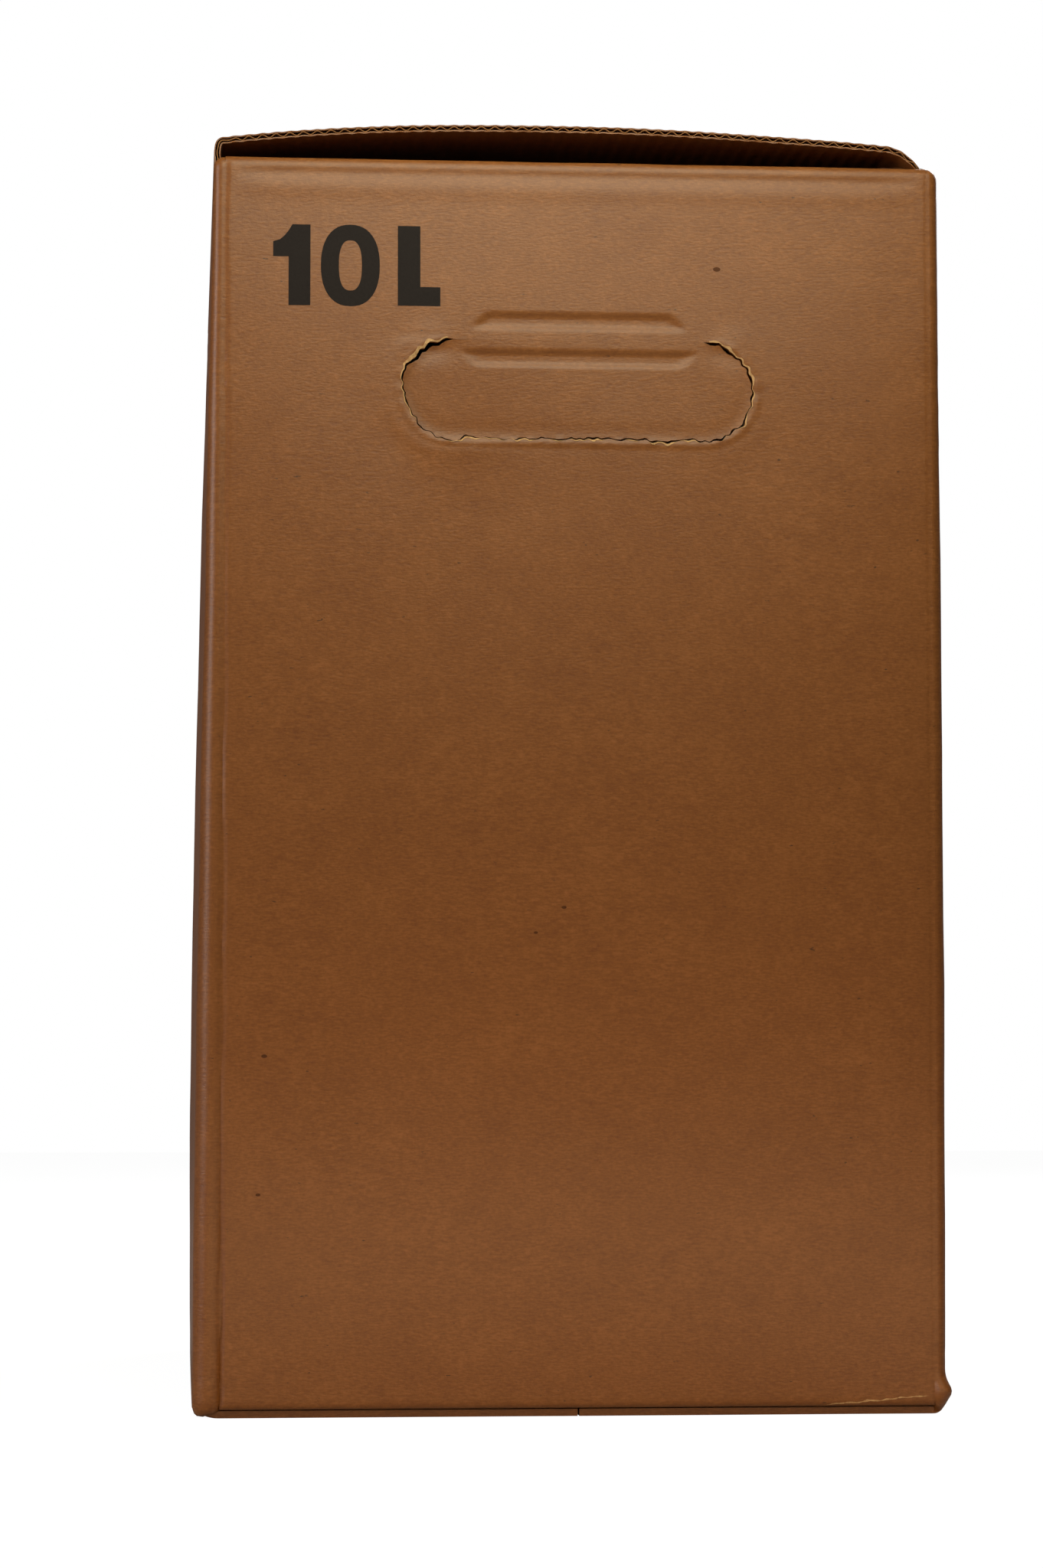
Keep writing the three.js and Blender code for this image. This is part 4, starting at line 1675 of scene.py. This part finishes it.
@dataclass
class Contents:
    """The filled bag with its spout and tap. Sizes are in millimetres."""

    crown_power: float = 1.2
    squareness: float = 12.0
    foot_radius: float = 12.0
    shoulder: float = 222.0  # height at which the bag starts to close
    inset: float = 0.4  # of the film in the solid bag
    around: int = 150
    rings: int = 70
    base_end: float = 0.12  # shares of the rings, from the base's middle up
    foot_end: float = 0.22
    side_end: float = 0.5
    pucker: float = 0.012  # how far the wrinkles draw in, as a share of the bag's half width
    sag: float = 1.8  # how deep they are over the shoulder

    def build_bag(self) -> None:
        """Builds the bag's film with the wrinkles that liquid and welds give it."""
        low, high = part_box("filled_bag")
        half = tuple((high[i] - low[i]) / 2 / MM - self.inset for i in (0, 1))
        floor, crown = low[2] / MM + 0.1, high[2] / MM - 0.6
        (flange_start, _, flange_low), (_, _, flange_high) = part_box("spout")
        flange, middle = flange_start / MM - 0.5, (flange_low + flange_high) / 2 / MM
        power = self.squareness
        points = []
        for r in range(self.rings + 1):
            for a in range(self.around):
                turn = 2 * math.pi * a / self.around
                c, s = math.cos(turn), math.sin(turn)
                square = (abs(c) ** power + abs(s) ** power) ** (-1 / power)
                share, up = self.profile(r / self.rings, half[1], floor, crown)
                x, y = half[0] * square * share * c, half[1] * square * share * s
                wrinkle = ripple(x, y, up * 0.35, 16) + 0.6 * ripple(x * 1.6, y, up * 0.3, 7)
                inwards = 1 - self.pucker * (1 + wrinkle) * min(share * 2, 1)
                drop = self.sag * (1 + wrinkle) * (1 if up > self.shoulder + 2 else 0)
                point = Vector((x * inwards, y * inwards, up - drop))
                points.append(self.clear_of_tap(point, flange, middle) * MM)
        faces = sheet_faces(self.rings + 1, self.around, closed=True)
        last = self.rings * self.around
        faces += [tuple(range(self.around))[::-1], tuple(range(last, last + self.around))]
        bag = make_piece("filled_bag_film", points, faces)
        shade_smooth(bag, 60)
        dress(bag, "bag_film", "carton", FILM.material())
        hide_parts("filled_bag")

    def profile(self, t: float, reach: float, floor: float, crown: float) -> Point2:
        """Draws the bag's outline from the middle of its base to the middle of its crown.

        Args:
            t: The place on the outline, from 0 to 1.
            reach: Half of the bag's depth.
            floor: The height of its base.
            crown: The height of its crown.

        Returns:
            The share of the bag's full width, and the height.
        """
        foot = self.foot_radius / reach
        if t < self.base_end:
            return (1 - foot) * (0.02 + 0.98 * t / self.base_end), floor
        if t < self.foot_end:
            angle = (t - self.base_end) / (self.foot_end - self.base_end) * QUARTER
            return 1 - foot + foot * math.sin(angle), floor + self.foot_radius * (1 - math.cos(angle))
        if t < self.side_end:
            start = floor + self.foot_radius
            share = (t - self.foot_end) / (self.side_end - self.foot_end)
            return 1.0, start + (self.shoulder - start) * share
        share = max(1 - (t - self.side_end) / (1 - self.side_end), 0.01)
        lift = math.cos(share * QUARTER) ** self.crown_power
        return share, self.shoulder + (crown - self.shoulder) * lift

    @staticmethod
    def clear_of_tap(point: Vector, flange: float, middle: float) -> Vector:
        """Draws the film in behind the tap and its spout.

        Args:
            point: A point of the film.
            flange: How far out the spout's flange starts.
            middle: The height of the spout's axis.

        Returns:
            The point, moved in where it is near the spout.
        """
        pull = fade(math.hypot(point.y, point.z - middle) - 32, 6)
        if point.x > flange:
            return Vector((point.x + (flange - point.x) * pull, point.y, point.z))
        return point

    def build(self) -> None:
        """Builds the film and finishes the moulded parts."""
        self.build_bag()
        for node, finish in (("spout", SPOUT), ("tap_body", TAP), ("tap_lever", LEVER)):
            material = finish.material()
            for each in bpy.data.objects:
                if each.type == "MESH" and each.name == node:
                    each.data.materials.clear()
                    each.data.materials.append(material)
                    LOG.info("%s: %s", node, material.name)


@dataclass(frozen=True)
class Softbox:
    """A soft light that faces a target, in metres and watts."""

    name: str
    place: tuple[float, float, float]
    target: tuple[float, float, float]
    width: float
    power: float
    colour: str = "#FFFFFF"
    height: float | None = None  # given where it isn't square

    def build(self) -> None:
        """Adds the light, which the camera doesn't see."""
        data = bpy.data.lights.new(self.name, "AREA")
        data.size = self.width
        data.energy = self.power
        data.color = to_linear(self.colour)[:3]
        if self.height is not None:
            data.shape = "RECTANGLE"
            data.size_y = self.height
        lamp = bpy.data.objects.new(self.name, data)
        lamp.location = self.place
        lamp.visible_camera = False
        aim = Vector(self.target) - Vector(self.place)
        lamp.rotation_euler = aim.to_track_quat("-Z", "Y").to_euler()
        bpy.context.scene.collection.objects.link(lamp)


@dataclass
class Studio:
    """The floor, the lights and the camera, in metres and degrees."""

    camera: tuple[float, float, float] = (-0.0937, -1.0847, 0.0815)
    yaw: float = 4.75
    pitch: float = 4.026
    focal: float = 93.38  # in millimetres, on a 36 mm long side
    ambient: float = 0.09
    floor_half: float = 3.0
    floor_paint: str = "#B4B4B2"
    floor_glow: float = 1.21
    glow_share: float = 0.8  # of what the camera sees of the floor; the rest shows the shadow
    lights: tuple[Softbox, ...] = (
        Softbox("key_softbox", (0.0, -0.3, 0.43), (0.0, -0.12, 0.3), 0.26, 1.15, "#F2FBE2"),
        Softbox("sheen_softbox", (0.0, -1.5, 1.3), (0.0, -0.12, 0.25), 0.6, 2.6, "#FFF6D6"),
        Softbox("low_striplight", (0.0, -0.25, 0.03), (0.0, -0.12, 0.0), 0.34, 0.115, "#FFE4B4", 0.04),
        Softbox("back_softbox", (0.9, 1.2, 1.2), (0.0, 0.0, 0.15), 0.8, 25.0),
        Softbox("side_softbox", (-1.2, -0.6, 0.5), (0.0, 0.0, 0.15), 0.6, 9.0),
    )

    def build_floor(self) -> None:
        """Adds the pale floor, which shows white but keeps the carton's shadow."""
        half = self.floor_half
        corners = [Vector((x * half, y * half, 0)) for x, y in ((-1, -1), (1, -1), (1, 1), (-1, 1))]
        plane = make_piece("studio_floor", corners, [(0, 1, 2, 3)])
        material = bpy.data.materials.new("white_studio_floor")
        material.use_nodes = True
        tree = material.node_tree
        tree.nodes.clear()
        path = add_node(tree, "ShaderNodeLightPath")
        seen = add_node(
            tree,
            "ShaderNodeMath",
            {"operation": "MULTIPLY"},
            {0: path.outputs["Is Camera Ray"], 1: self.glow_share},
        )
        paint = add_node(tree, "ShaderNodeBsdfDiffuse", inputs={"Color": to_linear(self.floor_paint)})
        glow = add_node(
            tree, "ShaderNodeEmission", inputs={"Color": to_linear("#FFFFFF"), "Strength": self.floor_glow}
        )
        mix = add_node(
            tree,
            "ShaderNodeMixShader",
            inputs={0: seen.outputs[0], 1: paint.outputs["BSDF"], 2: glow.outputs["Emission"]},
        )
        add_node(tree, "ShaderNodeOutputMaterial", inputs={"Surface": mix.outputs["Shader"]})
        plane.data.materials.append(material)

    def build_world(self) -> None:
        """Lights the scene softly all round and shows white behind the object."""
        world = bpy.data.worlds.new("studio")
        bpy.context.scene.world = world
        world.use_nodes = True
        tree = world.node_tree
        tree.nodes.clear()
        path = add_node(tree, "ShaderNodeLightPath")
        shown = add_node(
            tree,
            "ShaderNodeMath",
            {"operation": "MAXIMUM"},
            {0: path.outputs["Is Camera Ray"], 1: path.outputs["Is Transmission Ray"]},
        )
        paper = to_linear("#FFFFFF")
        soft, white = (
            add_node(tree, "ShaderNodeBackground", inputs={"Color": paper, "Strength": strength})
            for strength in (self.ambient, 1.0)
        )
        mix = add_node(
            tree,
            "ShaderNodeMixShader",
            inputs={0: shown.outputs[0], 1: soft.outputs[0], 2: white.outputs[0]},
        )
        add_node(tree, "ShaderNodeOutputWorld", inputs={"Surface": mix.outputs["Shader"]})

    def build_camera(self) -> None:
        """Adds the camera at the photographed view."""
        data = bpy.data.cameras.new("camera")
        data.lens = self.focal
        data.sensor_width = 36.0
        camera = bpy.data.objects.new("camera", data)
        camera.location = self.camera
        camera.rotation_euler = (math.radians(90 + self.pitch), 0.0, math.radians(-self.yaw))
        bpy.context.scene.collection.objects.link(camera)
        bpy.context.scene.camera = camera

    def build(self) -> None:
        """Sets up the floor, world, lights and camera."""
        bpy.context.scene.view_settings.view_transform = "Standard"
        self.build_floor()
        self.build_world()
        for light in self.lights:
            light.build()
        self.build_camera()


def main() -> None:
    """Loads the frame, dresses the carton and sets the studio round it."""
    logging.basicConfig(level=logging.INFO, format="%(name)s %(message)s")
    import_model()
    Studio().build()
    Carton(KraftLiner().material(), TORN_FIBRE.material(), FLUTING.material()).build()
    Contents().build()


if __name__ == "__main__":
    main()
